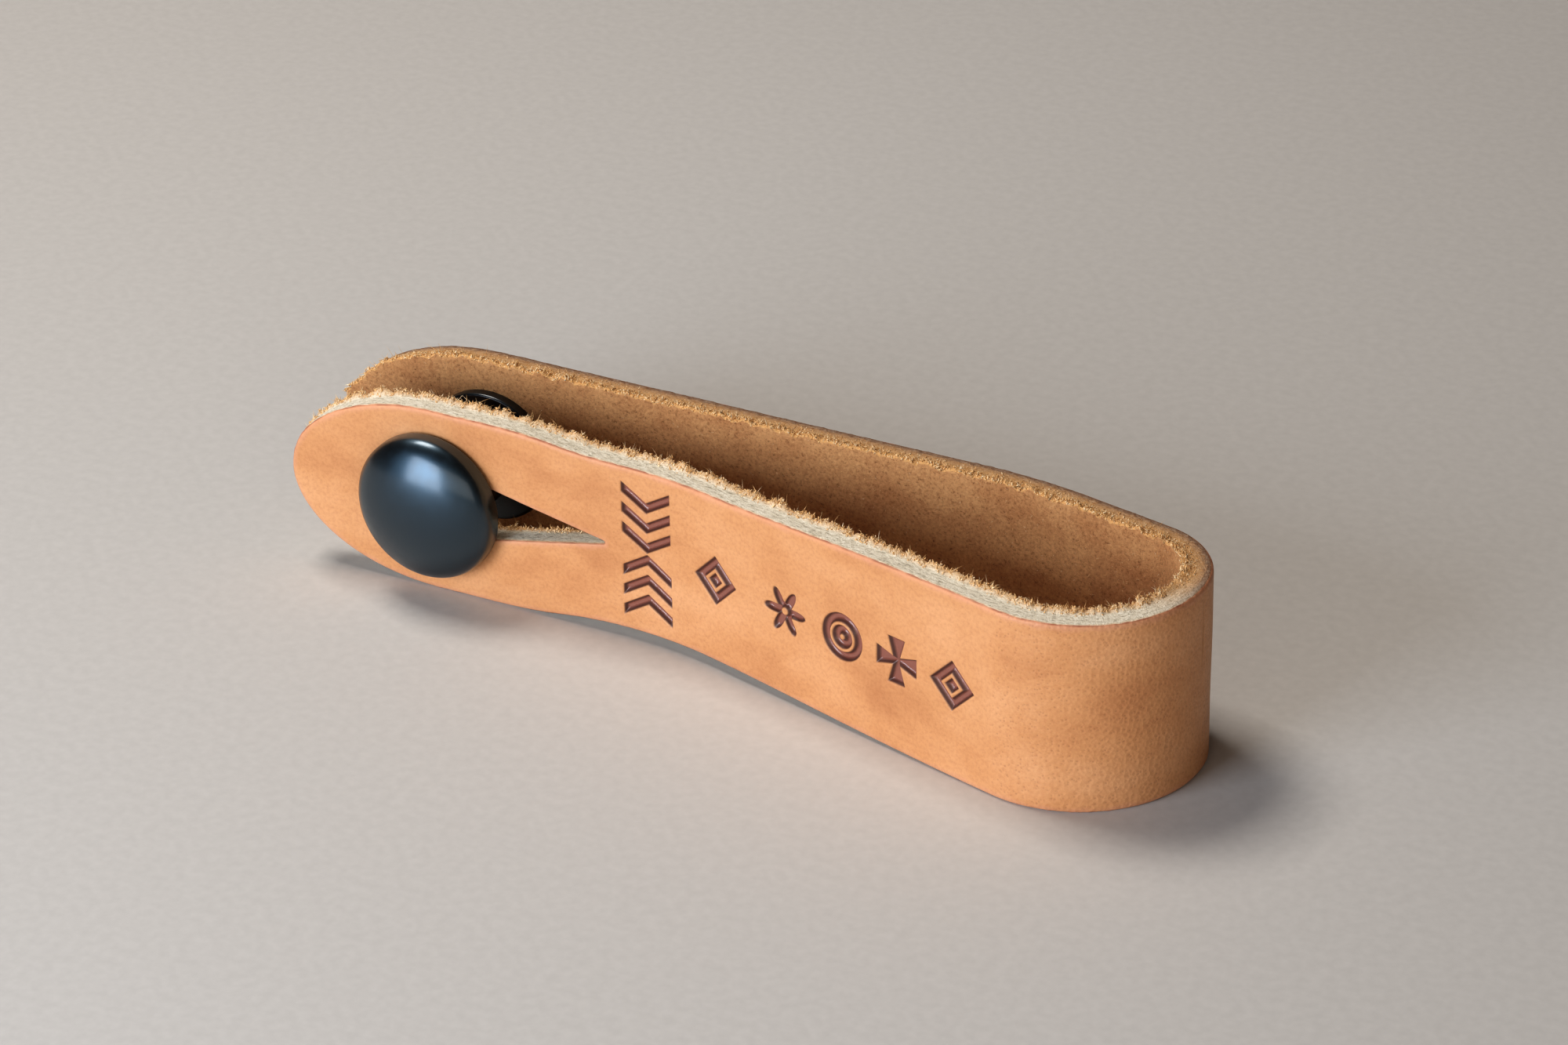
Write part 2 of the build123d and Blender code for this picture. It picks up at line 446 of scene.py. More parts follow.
@dataclass(frozen=True)
class LooseFibre:
    """Collagen fibres pulled loose by the knife: dry, golden, and pale at their brightest."""

    light: str = "#FFEBC6"
    middle: str = "#F6CB8E"
    dark: str = "#D8A970"
    grit: str = "#9C7A55"
    roughness: float = 0.7

    def make(self) -> bpy.types.Material:
        """Build the fibres' material."""
        material, tree, shader = new_material("loose_fibre", self.middle)
        add = partial(add_node, tree)
        tone = add("Attribute", {}, "Fac", attribute_name="tone")
        shades = ((0.0, self.dark), (0.45, self.middle), (1.0, self.light))
        colour = add("ValToRGB", {0: tone}, stops=shades)
        grit = cloud(tree, (6.0, 6.0, 6.0), 2.0)
        shade = add("ValToRGB", {0: grit}, stops=((0.3, self.grit), (0.6, "#FFFFFF")))
        colour = add("Mix", {0: 0.25, 6: colour, 7: shade}, 2, data_type="RGBA", blend_type="MULTIPLY")
        rough = add("Bump", {"Height": grit, "Distance": 0.02 * MM, "Strength": 0.4})
        finish = {"Base Color": colour, "Normal": rough}
        set_inputs(tree, shader, {**finish, "Roughness": self.roughness, "Specular IOR Level": 0.25})
        return material


@dataclass(frozen=True)
class BlackEnamel:
    """Pressed brass sheet, enamelled black and baked: deep, glossy, faintly rippled.

    Attributes:
        worn: the colour of its rubbed specks.
        painted_blue_reflection: a cool blue painted into its reflections, standing in for the window's blue
            light.
        ripple_mm: the width of the ripples in its gloss.
        dust_mm: the width of its specks.
    """

    name: str = "black_enamel"
    colour: str = "#08090A"
    worn: str = "#2A2B2E"
    painted_blue_reflection: str = "#98CBEE"
    ripple_mm: float = 1.1
    dust_mm: float = 0.12
    metallic: float = 0.0
    ior: float = 1.8
    roughness: float = 0.35
    coat: float = 0.6
    coat_roughness: float = 0.2
    coat_ior: float = 1.6

    def make(self) -> bpy.types.Material:
        """Build the enamel."""
        material, tree, shader = new_material(self.name, self.colour)
        add = partial(add_node, tree)
        place = add("TexCoord", {}, "Object")
        waves = {"Vector": place, "Scale": 1 / (self.ripple_mm * MM), "Detail": 2.0, "Roughness": 0.5}
        ripple = add("TexNoise", waves)
        grains = {"Vector": place, "Scale": 1 / (self.dust_mm * MM), "Detail": 4.0, "Roughness": 0.7}
        dust = add("TexNoise", grains)
        specks = add("ValToRGB", {0: dust}, stops=((0.62, 0.0), (0.74, 0.6)))
        colour = add("Mix", {0: specks, 6: self.colour, 7: self.worn}, 2, data_type="RGBA")
        gloss = ((0.3, self.roughness - 0.03), (0.7, self.roughness + 0.05))
        gloss = add("ValToRGB", {0: ripple}, stops=gloss)
        relief = add("Bump", {"Height": ripple, "Distance": 0.012 * MM, "Strength": 0.5})
        relief = add("Bump", {"Height": dust, "Distance": 0.003 * MM, "Strength": 0.5, "Normal": relief})
        finish = {"Base Color": colour, "Roughness": gloss, "Normal": relief, "Metallic": self.metallic}
        coat = {"Coat Weight": self.coat, "Coat Roughness": self.coat_roughness, "Coat IOR": self.coat_ior}
        # The specular tint paints the window's blue into every reflection, on the cap, the post and the
        # screw.
        set_inputs(tree, shader, {**finish, **coat, "Specular Tint": self.painted_blue_reflection})
        if not self.metallic:
            shader.inputs["IOR"].default_value = self.ior
        return material


@dataclass(frozen=True)
class BlackOxide(BlackEnamel):
    """Turned steel blackened in a hot bath and oiled: satin, with the metal just showing."""

    name: str = "black_oxide"
    colour: str = "#101113"
    worn: str = "#3A3B3D"
    ripple_mm: float = 0.6
    metallic: float = 0.6
    roughness: float = 0.38


@dataclass(frozen=True)
class BlackenedScrew(BlackEnamel):
    """A steel screw blackened before it was driven: bare metal shows in its worn specks."""

    name: str = "blackened_screw"
    colour: str = "#17181A"
    worn: str = "#5A5750"
    ripple_mm: float = 0.5
    metallic: float = 0.85
    roughness: float = 0.34


@dataclass(frozen=True)
class StudioPaper:
    """Matt cartridge paper under the keeper: plain, pale and even, with a fine tooth."""

    dark: str = "#C5C3C0"
    colour: str = "#C8C6C3"
    light: str = "#CBC9C6"
    tooth_per_m: float = 900.0
    roughness: float = 0.85

    def make(self) -> bpy.types.Material:
        """Build the paper."""
        material, tree, shader = new_material("studio_paper", self.colour)
        place = add_node(tree, "TexCoord", {}, "Object")
        tooth = add_node(tree, "TexNoise", {"Vector": place, "Scale": self.tooth_per_m, "Detail": 3.0})
        colour = add_node(tree, "ValToRGB", {0: tooth}, stops=((0.3, self.dark), (0.7, self.light)))
        set_inputs(tree, shader, {"Base Color": colour, "Roughness": self.roughness})
        return material


# ---------------------------------------------------------------- the strap's shape


@dataclass(frozen=True)
class Run:
    """One straight or arc of the strap's plan line.

    Attributes:
        start: how far along the outer face it starts.
        length: its length.
        x: where it starts.
        y: where it starts.
        heading: the way it starts in, in radians.
        curve: its turn for each millimetre, nothing for a straight.
    """

    start: float
    length: float
    x: float
    y: float
    heading: float
    curve: float


@dataclass(frozen=True)
class StrapLine:
    """The strap's outer face from above: straight runs joined by arcs.

    Attributes:
        corners: plan corners from the buttoning end round the fold to the rear end.
        radii: the arc's radius at each inner corner.
        full_bend: the radius at which the leather counts as fully bent.
    """

    corners: tuple[tuple[float, float], ...]
    radii: tuple[float, ...]
    full_bend: float = 9.0

    def runs(self) -> list[Run]:
        """Lay the runs end to end."""
        points = [np.array(c) for c in self.corners]
        ways = [b - a for a, b in zip(points, points[1:])]
        headings = np.unwrap([math.atan2(w[1], w[0]) for w in ways])
        turns = np.diff(headings)
        trims = [0.0, *(r * math.tan(abs(t) / 2) for r, t in zip(self.radii, turns)), 0.0]
        made, so_far = [], 0.0
        for i, (way, heading) in enumerate(zip(ways, headings)):
            unit = way / np.linalg.norm(way)
            x, y = points[i] + unit * trims[i]
            length = np.linalg.norm(way) - trims[i] - trims[i + 1]
            made.append(Run(so_far, length, x, y, heading, 0.0))
            so_far += length
            if i < len(turns):
                x, y = points[i + 1] - unit * trims[i + 1]
                arc = self.radii[i] * abs(turns[i])
                made.append(Run(so_far, arc, x, y, heading, turns[i] / arc))
                so_far += arc
        return made

    def at(self, along: np.ndarray, deep: np.ndarray) -> tuple[np.ndarray, np.ndarray, np.ndarray]:
        """Find plan places.

        Args:
            along: distance along the outer face.
            deep: depth below the grain.

        Returns:
            x, y and how strongly the leather is bent there, from 0 to 1.
        """
        x, y, bend = (np.zeros(len(along)) for _ in range(3))
        runs = self.runs()
        for i, run in enumerate(runs):
            here = along >= run.start if i else np.ones(len(along), bool)
            gone = along[here] - run.start
            if run.curve:
                turned = run.heading + run.curve * gone
                x[here] = run.x + (np.sin(turned) - math.sin(run.heading)) / run.curve
                y[here] = run.y + (math.cos(run.heading) - np.cos(turned)) / run.curve
            else:
                turned = np.full(here.sum(), run.heading)
                x[here] = run.x + gone * math.cos(run.heading)
                y[here] = run.y + gone * math.sin(run.heading)
            x[here] -= np.sin(turned) * deep[here]
            y[here] += np.cos(turned) * deep[here]
            bend[here] = min(1.0, abs(run.curve) * self.full_bend)
        return x, y, bend

    def along_of(self, x: float, runs: slice) -> float:
        """Distance along the outer face where it reaches x, searched within some of its runs."""
        chosen = self.runs()[runs]
        steps = 4000
        along = np.linspace(chosen[0].start, chosen[-1].start + chosen[-1].length, steps)
        places = self.at(along, np.zeros(len(along)))[0]
        return float(along[np.argmin(np.abs(places - x))])


@dataclass(frozen=True)
class StampMark:
    """One stamp pressed into the grain.

    Attributes:
        motif: its pattern.
        along: its centre along the outer face.
        high: its centre above the middle line.
        size: half its width.
        turn: its turn on the face, in degrees.
        wall: half the width of its sloping walls.
        stroke: the width of its line work.
        reach: how far its press reaches, in half widths.
        fine_reach: how far the fine mesh round it reaches, in half widths.
    """

    motif: Motif
    along: float
    high: float
    size: float
    turn: float = 0.0
    wall: float = 0.26
    stroke: float = 0.72
    reach: float = 1.3
    fine_reach: float = 1.12

    def local(self, along: np.ndarray, high: np.ndarray) -> tuple[np.ndarray, np.ndarray]:
        """Places in the stamp's own frame, where its half width is 1."""
        c, s = math.cos(math.radians(self.turn)), math.sin(math.radians(self.turn))
        p, q = (along - self.along) / self.size, (high - self.high) / self.size
        return p * c + q * s, q * c - p * s

    def outline(self, p: np.ndarray, q: np.ndarray) -> np.ndarray:
        """Signed distance to the motif's line work, in half widths: below 0 is pressed."""
        radius, angle = np.hypot(p, q), np.arctan2(q, p)
        stroke = self.stroke / 2 / self.size
        if self.motif is Motif.RING:
            return np.minimum(np.abs(radius - 0.8) - stroke, np.abs(radius - 0.3) - stroke)
        if self.motif is Motif.DIAMOND:
            square = (np.abs(p) + np.abs(q)) * 0.71
            return np.minimum(np.abs(square - 0.56) - stroke, square - 0.19)
        if self.motif is Motif.ROSETTE:
            petal = 0.32 + 0.62 * np.cos(3 * angle) ** 2
            return np.maximum((radius - petal) * 0.6, 0.2 - radius)
        if self.motif is Motif.CROSS:
            long, short = np.maximum(np.abs(p), np.abs(q)), np.minimum(np.abs(p), np.abs(q))
            return np.maximum(short - 0.07 - 0.3 * long, long - 0.92)
        bar = np.abs(q - 0.62 * np.abs(p) + 0.3) * 0.85 - stroke
        return np.maximum(bar, np.abs(p) - 0.9)

    def pressed(self, along: np.ndarray, high: np.ndarray) -> np.ndarray:
        """How far the stamp presses each place, from 0 to 1."""
        p, q = self.local(along, high)
        near = (np.abs(p) < self.reach) & (np.abs(q) < self.reach)
        share = np.zeros(len(along))
        share[near] = 1 - smooth(self.outline(p[near], q[near]) * self.size, -self.wall, self.wall)
        return share

    def covers(self, points: np.ndarray) -> np.ndarray:
        """Which points on the flattened hide lie under the stamp."""
        p, q = self.local(points[:, 0], points[:, 1])
        return (np.abs(p) < self.fine_reach) & (np.abs(q) < self.fine_reach)


@dataclass(frozen=True)
class EdgeForm:
    """How an edge goes from the grain to the flesh.

    Attributes:
        rings: pairs of inset and depth, as a share of the hide's thickness.
        cut_from: the ring where the cut edge starts.
        fray: how far the raw edge wanders in and out.
        ridge: how far the loosened flesh side stands up past the cut.
        proud: the most that fraying alone stands out.
    """

    rings: tuple[tuple[float, float], ...]
    cut_from: int
    fray: float
    ridge: float
    proud: float = 0.05


OUTSIDE_EDGE = EdgeForm(
    rings=(
        (0.50, 0.0), (0.28, 0.008), (0.12, 0.035), (0.03, 0.08), (0.0, 0.14), (0.0, 0.26),
        (0.0, 0.38), (0.0, 0.5), (0.0, 0.6), (0.0, 0.69), (0.0, 0.77), (0.0, 0.85), (0.01, 0.92),
        (0.06, 0.97), (0.22, 1.0),
    ),
    cut_from=3,
    fray=0.10,
    ridge=0.6,
)
HOLE_EDGE = EdgeForm(
    rings=(
        (0.30, 0.0), (0.14, 0.012), (0.04, 0.05), (0.0, 0.11), (0.0, 0.28), (0.0, 0.44),
        (0.0, 0.6), (0.0, 0.76), (0.02, 0.9), (0.12, 1.0),
    ),
    cut_from=2,
    fray=0.05,
    ridge=0.0,
)


def ridge_height(points: np.ndarray, outward: np.ndarray, deep: np.ndarray, seed: int) -> np.ndarray:
    """How far the loosened flesh side stands up past the cut, from 0 to 1.

    Args:
        points: places along the edge on the flattened hide.
        outward: the way out of the leather at each.
        deep: each one's depth as a share of the hide's thickness.
        seed: seeds the tufts.

    Returns:
        The height at each point, nothing where the strap stands on its edge.
    """
    wide = noise_at(points, (0.7, 0.7), (0.0, seed))
    fine = noise_at(points, (2.3, 2.3), (0.0, seed + 7.0))
    tall = np.clip(0.42 + 0.75 * wide + 0.75 * fine, 0.0, 1.0)
    return tall * smooth(deep, 0.62, 0.93) * smooth(outward[:, 1], -0.5, 0.2)


def inset_points(points: np.ndarray, inset: float, closed: bool) -> np.ndarray:
    """Move a line of points to its left.

    Args:
        points: the line, one point a row.
        inset: how far.
        closed: whether it comes back to its start.

    Returns:
        The moved line.
    """
    if closed:
        way = np.roll(points, -1, 0) - np.roll(points, 1, 0)
    else:
        way = np.gradient(points, axis=0)
        way[0, 1] = way[-1, 1] = 0
    way /= np.linalg.norm(way, axis=1)[:, None]
    return points + np.stack([-way[:, 1], way[:, 0]], 1) * inset


def inside(points: np.ndarray, loop: np.ndarray) -> np.ndarray:
    """Which points lie inside a closed loop."""
    x, y = points[:, 0], points[:, 1]
    found = np.zeros(len(points), bool)
    for (ax, ay), (bx, by) in zip(loop, np.roll(loop, -1, 0)):
        if ay == by:
            continue
        crosses = (y < ay) != (y < by)
        found ^= crosses & (x < (bx - ax) * (y - ay) / (by - ay) + ax)
    return found


@dataclass
class HidePiece:
    """One stretch of the strap as a closed mesh, with its grain, cut edge and flesh.

    Attributes:
        name: the piece's name.
        line: the strap's plan line.
        rim: the free edge on the flattened hide, from one side of the seam round to the other.
        holes: closed loops cut through it.
        hide: the leather's thickness.
        middle: the height of the strap's middle line.
        marks: the stamps on its grain.
        browned_span: where the brown stretch of its edge starts and is full, along the outer face.
        press: how deep the stamps go.
        swell: how far the hide's thickness wanders.
        pitch: the mesh's usual spacing.
        fine_pitch: its spacing under the stamps.
        row_step: the rows' spacing as a share of that, for near equal triangles.
        seam_points: how many points close the seam's side of a face.
        seed: seeds the fraying.
    """

    name: str
    line: StrapLine
    rim: np.ndarray
    holes: list[np.ndarray]
    hide: float
    middle: float
    marks: list[StampMark] = field(default_factory=list)
    browned_span: tuple[float, float] = (0.0, 1.0)
    press: float = 0.48
    swell: float = 0.05
    pitch: float = 0.5
    fine_pitch: float = 0.105
    row_step: float = 0.866
    seam_points: int = 40
    seed: int = 1

    def fray(self, points: np.ndarray, deep: float, amount: float) -> np.ndarray:
        """How far the raw edge wanders at each point, at one depth."""
        step = noise_at(points, (1.4, 1.4), (self.seed, deep * 2.2))
        tuft = noise_at(points, (4.5, 4.5), (0.0, deep * 5.0 + self.seed))
        return amount * (0.6 * step + 0.5 * tuft)

    def face_points(self, rim: np.ndarray, holes: list[np.ndarray], marks: list[StampMark]) -> np.ndarray:
        """Fill a face with evenly spaced points, closer together under the stamps.

        Args:
            rim: the face's closed outline.
            holes: loops round what is cut out.
            marks: the stamps on it.

        Returns:
            The points inside, clear of the outlines.
        """
        low, high = rim.min(0), rim.max(0)
        sets = []
        for pitch in (self.pitch, self.fine_pitch) if marks else (self.pitch,):
            rows = []
            for i, v in enumerate(np.arange(low[1], high[1], pitch * self.row_step)):
                u = np.arange(low[0] + (i % 2) * pitch / 2, high[0], pitch)
                rows.append(np.stack([u, np.full(len(u), v)], 1))
            grid = np.concatenate(rows)
            under = np.zeros(len(grid), bool)
            for mark in marks:
                under |= mark.covers(grid)
            sets.append(grid[under == (pitch < self.pitch)])
        points = np.concatenate(sets)
        clear = inside(points, inset_points(rim, self.pitch / 2, True))
        for hole in holes:
            clear &= ~inside(points, inset_points(hole, self.pitch / 2, True))
        return points[clear]

    def triangles(self, points: np.ndarray, loops: list[np.ndarray]) -> np.ndarray:
        """Join a face's points into triangles.

        Args:
            points: every point, the loops' own first.
            loops: point numbers round the rim and round each hole.

        Returns:
            Triangles, one a row.
        """
        edges = [(int(a), int(b)) for loop in loops for a, b in zip(loop, np.roll(loop, -1))]
        made = delaunay_2d_cdt([Vector(p) for p in points], edges, [], 0, 1e-7)
        origin = [o[0] if o else -1 for o in made[3]]
        found = np.array([[origin[i] for i in face] for face in made[2] if len(face) == 3])
        found = found[(found >= 0).all(1)]
        centres = points[found].mean(1)
        keep = inside(centres, points[loops[0]])
        for loop in loops[1:]:
            keep &= ~inside(centres, points[loop])
        return found[keep]

    def build(self) -> bpy.types.Object:
        """Make the mesh: each loop's rings from the grain down to the flesh, then both faces."""
        flat, deep, faces, sides = [], [], [], []
        rings = self.add_edges(flat, deep, faces, sides)
        for side, ring in ((Side.GRAIN, 0), (Side.FLESH, -1)):
            loops = [of_loop[ring] for of_loop in rings]
            tris = self.add_face(side, loops, flat, deep)
            faces += tris.tolist()
            sides += [side.value] * len(tris)
        return self.to_mesh(np.concatenate(flat), np.concatenate(deep), faces, sides)

    def add_edges(self, flat: list, deep: list, faces: list, sides: list) -> list[list[np.ndarray]]:
        """Make the edge round the outside and round each hole.

        Args:
            flat: sets of places on the flattened hide, which grow.
            deep: the depths of each set, which grow.
            faces: the faces' points, which grow.
            sides: the side that each face belongs to, which grow.

        Returns:
            For each loop, the point numbers of its rings.
        """
        count, rings = 0, []
        forms = [OUTSIDE_EDGE] + [HOLE_EDGE] * len(self.holes)
        for form, curve in zip(forms, [self.rim, *self.holes]):
            is_hole, of_loop = form is HOLE_EDGE, []
            for k, (inset, share) in enumerate(form.rings):
                wander = self.fray(curve, share * self.hide, form.fray) * (k >= form.cut_from)
                moved = inset_points(curve, inset, is_hole)
                outward = moved - inset_points(curve, inset + 1.0, is_hole)
                rise = ridge_height(curve, outward, np.full(len(curve), share), self.seed) * form.ridge
                moved = moved + outward * (np.minimum(wander, form.proud) + rise)[:, None]
                if not is_hole:
                    moved[0, 0], moved[-1, 0] = curve[0, 0], curve[-1, 0]
                of_loop.append(np.arange(count, count + len(curve)))
                flat.append(moved)
                deep.append(np.full(len(curve), share * self.hide))
                count += len(curve)
            rings.append(of_loop)
            for k, (upper, lower) in enumerate(zip(of_loop, of_loop[1:])):
                a, b = (upper, np.roll(upper, -1)) if is_hole else (upper[:-1], upper[1:])
                c, d = (lower, np.roll(lower, -1)) if is_hole else (lower[:-1], lower[1:])
                quads = np.stack([a, c, d, b], 1)
                faces += quads.tolist()
                side = Side.GRAIN if k < form.cut_from else Side.CUT
                sides += [side.value] * len(quads)
        return rings

    def add_face(self, side: Side, loops: list[np.ndarray], flat: list, deep: list) -> np.ndarray:
        """Fill the grain or the flesh face.

        Args:
            side: which of the two.
            loops: the point numbers of the edge's ring and of each hole's.
            flat: sets of places on the flattened hide, which grow.
            deep: the depths of each set, which grow.

        Returns:
            Its triangles, turned outwards.
        """
        is_grain = side is Side.GRAIN
        count = sum(len(part) for part in flat)
        placed = np.concatenate(flat)
        seam = np.linspace(self.rim[-1], self.rim[0], self.seam_points + 2)[1:-1]
        outline = np.concatenate([placed[loops[0]], seam])
        holes = [placed[loop] for loop in loops[1:]]
        inner = self.face_points(outline, holes, self.marks if is_grain else [])
        flat += [seam, inner]
        deep.append(np.full(len(seam) + len(inner), 0.0 if is_grain else self.hide))
        new = np.arange(count, count + len(seam) + len(inner))
        loops = [np.concatenate([loops[0], new[: len(seam)]]), *loops[1:]]
        own = np.concatenate([*loops, new[len(seam) :]])
        places = np.concatenate(flat)
        local = {int(v): i for i, v in enumerate(own)}
        local_loops = [np.array([local[int(v)] for v in loop]) for loop in loops]
        tris = own[self.triangles(places[own], local_loops)]
        a, b, c = (places[tris[:, i]] for i in range(3))
        turn = (b[:, 0] - a[:, 0]) * (c[:, 1] - a[:, 1]) - (b[:, 1] - a[:, 1]) * (c[:, 0] - a[:, 0])
        wrong = turn <= 0 if is_grain else turn > 0
        tris[wrong] = tris[wrong][:, ::-1]
        return tris

    def to_mesh(self, flat: np.ndarray, deep: np.ndarray, faces: list, sides: list) -> bpy.types.Object:
        """Bend the flat hide to the strap's line and press its stamps.

        Args:
            flat: places on the flattened hide.
            deep: depth of each.
            faces: the faces' points.
            sides: the side each face belongs to.

        Returns:
            The new object.
        """
        along, high = flat[:, 0], flat[:, 1]
        stamp = np.zeros(len(flat))
        for mark in self.marks:
            stamp = np.maximum(stamp, mark.pressed(along, high))
        stamp[deep > 0] = 0
        swell = noise_at(flat, (0.09, 0.13), (0.0, self.seed * 3.0))
        x, y, bend = self.line.at(along, deep + stamp * self.press + swell * self.swell)
        made = new_object(self.name, np.stack([x, y, high + self.middle], 1), faces)
        made.data.polygons.foreach_set("material_index", np.array(sides, np.int32))
        add_attribute(made.data, "edge_mm", self.edge_distance(flat))
        add_attribute(made.data, "stamp", stamp)
        add_attribute(made.data, "bend", bend)
        add_attribute(made.data, "brown_edge", smooth(along, *self.browned_span))
        add_attribute(made.data, "hide_mm", np.stack([along, high, deep], 1))
        self.close_seam(made.data)
        return made

    def edge_distance(self, flat: np.ndarray, most: float = 3.0, batch: int = 2000) -> np.ndarray:
        """How far each place lies from the nearest cut edge.

        Args:
            flat: places on the flattened hide.
            most: the largest distance that matters.
            batch: how many places are measured at once.

        Returns:
            One distance for each place.
        """
        curves = np.concatenate([self.rim, *self.holes])
        found = np.full(len(flat), most)
        for start in range(0, len(flat), batch):
            part = slice(start, start + batch)
            away = flat[part, None] - curves[None]
            found[part] = np.minimum(found[part], np.hypot(away[..., 0], away[..., 1]).min(1))
        return found

    def close_seam(self, mesh: bpy.types.Mesh) -> None:
        """Close the end that meets the other half of the strap, with a hard edge round it."""
        work = bmesh.new()
        work.from_mesh(mesh)
        loose = [edge for edge in work.edges if edge.is_boundary]
        for edge in loose:
            edge.smooth = False
        made = bmesh.ops.contextual_create(work, geom=loose)["faces"]
        for face in made:
            face.smooth = False
            face.material_index = Side.CUT.value
        bmesh.ops.triangulate(work, faces=made)
        bmesh.ops.recalc_face_normals(work, faces=work.faces)
        work.to_mesh(mesh)
        work.free()


@dataclass
class Fibres:
    """Loose fibres standing on a stretch of hide, as thin closed tapers.

    Attributes:
        name: the piece's name.
        line: the strap's plan line.
        middle: the height of the strap's middle line.
        steps: rings along each fibre.
        tip: the last ring's width as a share of the root's.
        lowest: the nearest that a fibre comes to the floor.
    """

    name: str
    line: StrapLine
    middle: float
    steps: int = 3
    tip: float = 0.35
    lowest: float = 0.06

    def build(self, roots: np.ndarray, ways: np.ndarray, lengths: np.ndarray, widths: np.ndarray,
              curl: np.ndarray, rng: np.random.Generator) -> bpy.types.Object:
        """Grow the fibres.

        Args:
            roots: along, high and deep of each root.
            ways: each fibre's first direction in the same three.
            lengths: each fibre's length.
            widths: each fibre's width at the root.
            curl: how far each bends from its first direction, in radians.
            rng: the random source.

        Returns:
            The new object.
        """
        n, k = len(roots), self.steps
        way = ways / np.linalg.norm(ways, axis=1)[:, None]
        other = rng.normal(size=(n, 3))
        bend_way = np.cross(way, other)
        bend_way /= np.linalg.norm(bend_way, axis=1)[:, None]
        point, line = roots.copy(), [roots.copy()]
        for i in range(k):
            angle = curl * (i + 0.5) / k
            here = way * np.cos(angle)[:, None] + bend_way * np.sin(angle)[:, None]
            point = point + here * (lengths / k)[:, None]
            line.append(point.copy())
        line = np.stack(line, 1)
        flat = line.reshape(-1, 3)
        x, y, _ = self.line.at(flat[:, 0], flat[:, 2])
        height = np.maximum(flat[:, 1] + self.middle, self.lowest)
        centre = np.stack([x, y, height], 1).reshape(n, k + 1, 3)
        run = np.diff(centre, axis=1)
        run = np.concatenate([run, run[:, -1:]], 1)
        run /= np.linalg.norm(run, axis=2)[..., None] + 1e-9
        side = np.cross(run, rng.normal(size=(n, 1, 3)))
        side /= np.linalg.norm(side, axis=2)[..., None] + 1e-9
        third = np.cross(run, side)
        taper = np.linspace(1, self.tip, k)[None, :, None] * widths[:, None, None] / 2
        rings = []
        for turn in (0, 2 * math.pi / 3, 4 * math.pi / 3):
            across = side[:, :k] * math.cos(turn) + third[:, :k] * math.sin(turn)
            rings.append(centre[:, :k] + across * taper)
        body = np.stack(rings, 2).reshape(n, k * 3, 3)
        points = np.concatenate([body, centre[:, k:]], 1)
        pattern = [(0, 2, 1)]
        for i in range(k - 1):
            for j in range(3):
                a, b = 3 * i + j, 3 * i + (j + 1) % 3
                pattern += [(a, b, b + 3), (a, b + 3, a + 3)]
        tip, last = 3 * k, 3 * (k - 1)
        pattern += [(last + j, last + (j + 1) % 3, tip) for j in range(3)]
        size = 3 * k + 1
        faces = (np.array(pattern)[None] + (np.arange(n) * size)[:, None, None]).reshape(-1, 3)
        made = new_object(self.name, points.reshape(-1, 3), faces.tolist())
        add_attribute(made.data, "tone", np.repeat(rng.uniform(0, 1, n), size))
        add_attribute(made.data, "hide_mm", np.repeat(roots, size, 0))
        return made


@dataclass(frozen=True)
class FringeForm:
    """How loose fibres grow along a raw edge: short thick tufts, fine hairs and a few long strays.

    Attributes:
        tuft_share: how many are tufts.
        tuft_length: a tuft's length.
        tuft_width: a tuft's width.
        hair_width: a hair's width.
        shortest: the least length of any.
        longest: the most, strays apart.
        stray_per_mm: long strays for each millimetre of edge.
        stray_length: a stray's length.
        stray_width: a stray's width.
        resting_share: how many are left where the strap stands on its edge.
        resting_length: the most that those measure.
        resting_lift: how far their roots are raised off the floor.
    """

    tuft_share: float = 0.6
    tuft_length: tuple[float, float] = (0.15, 0.42)
    tuft_width: tuple[float, float] = (0.13, 0.28)
    hair_width: tuple[float, float] = (0.055, 0.11)
    shortest: float = 0.08
    longest: float = 1.25
    stray_per_mm: float = 0.16
    stray_length: tuple[float, float] = (1.0, 2.0)
    stray_width: tuple[float, float] = (0.045, 0.065)
    resting_share: float = 0.4
    resting_length: float = 0.35
    resting_lift: float = 0.1


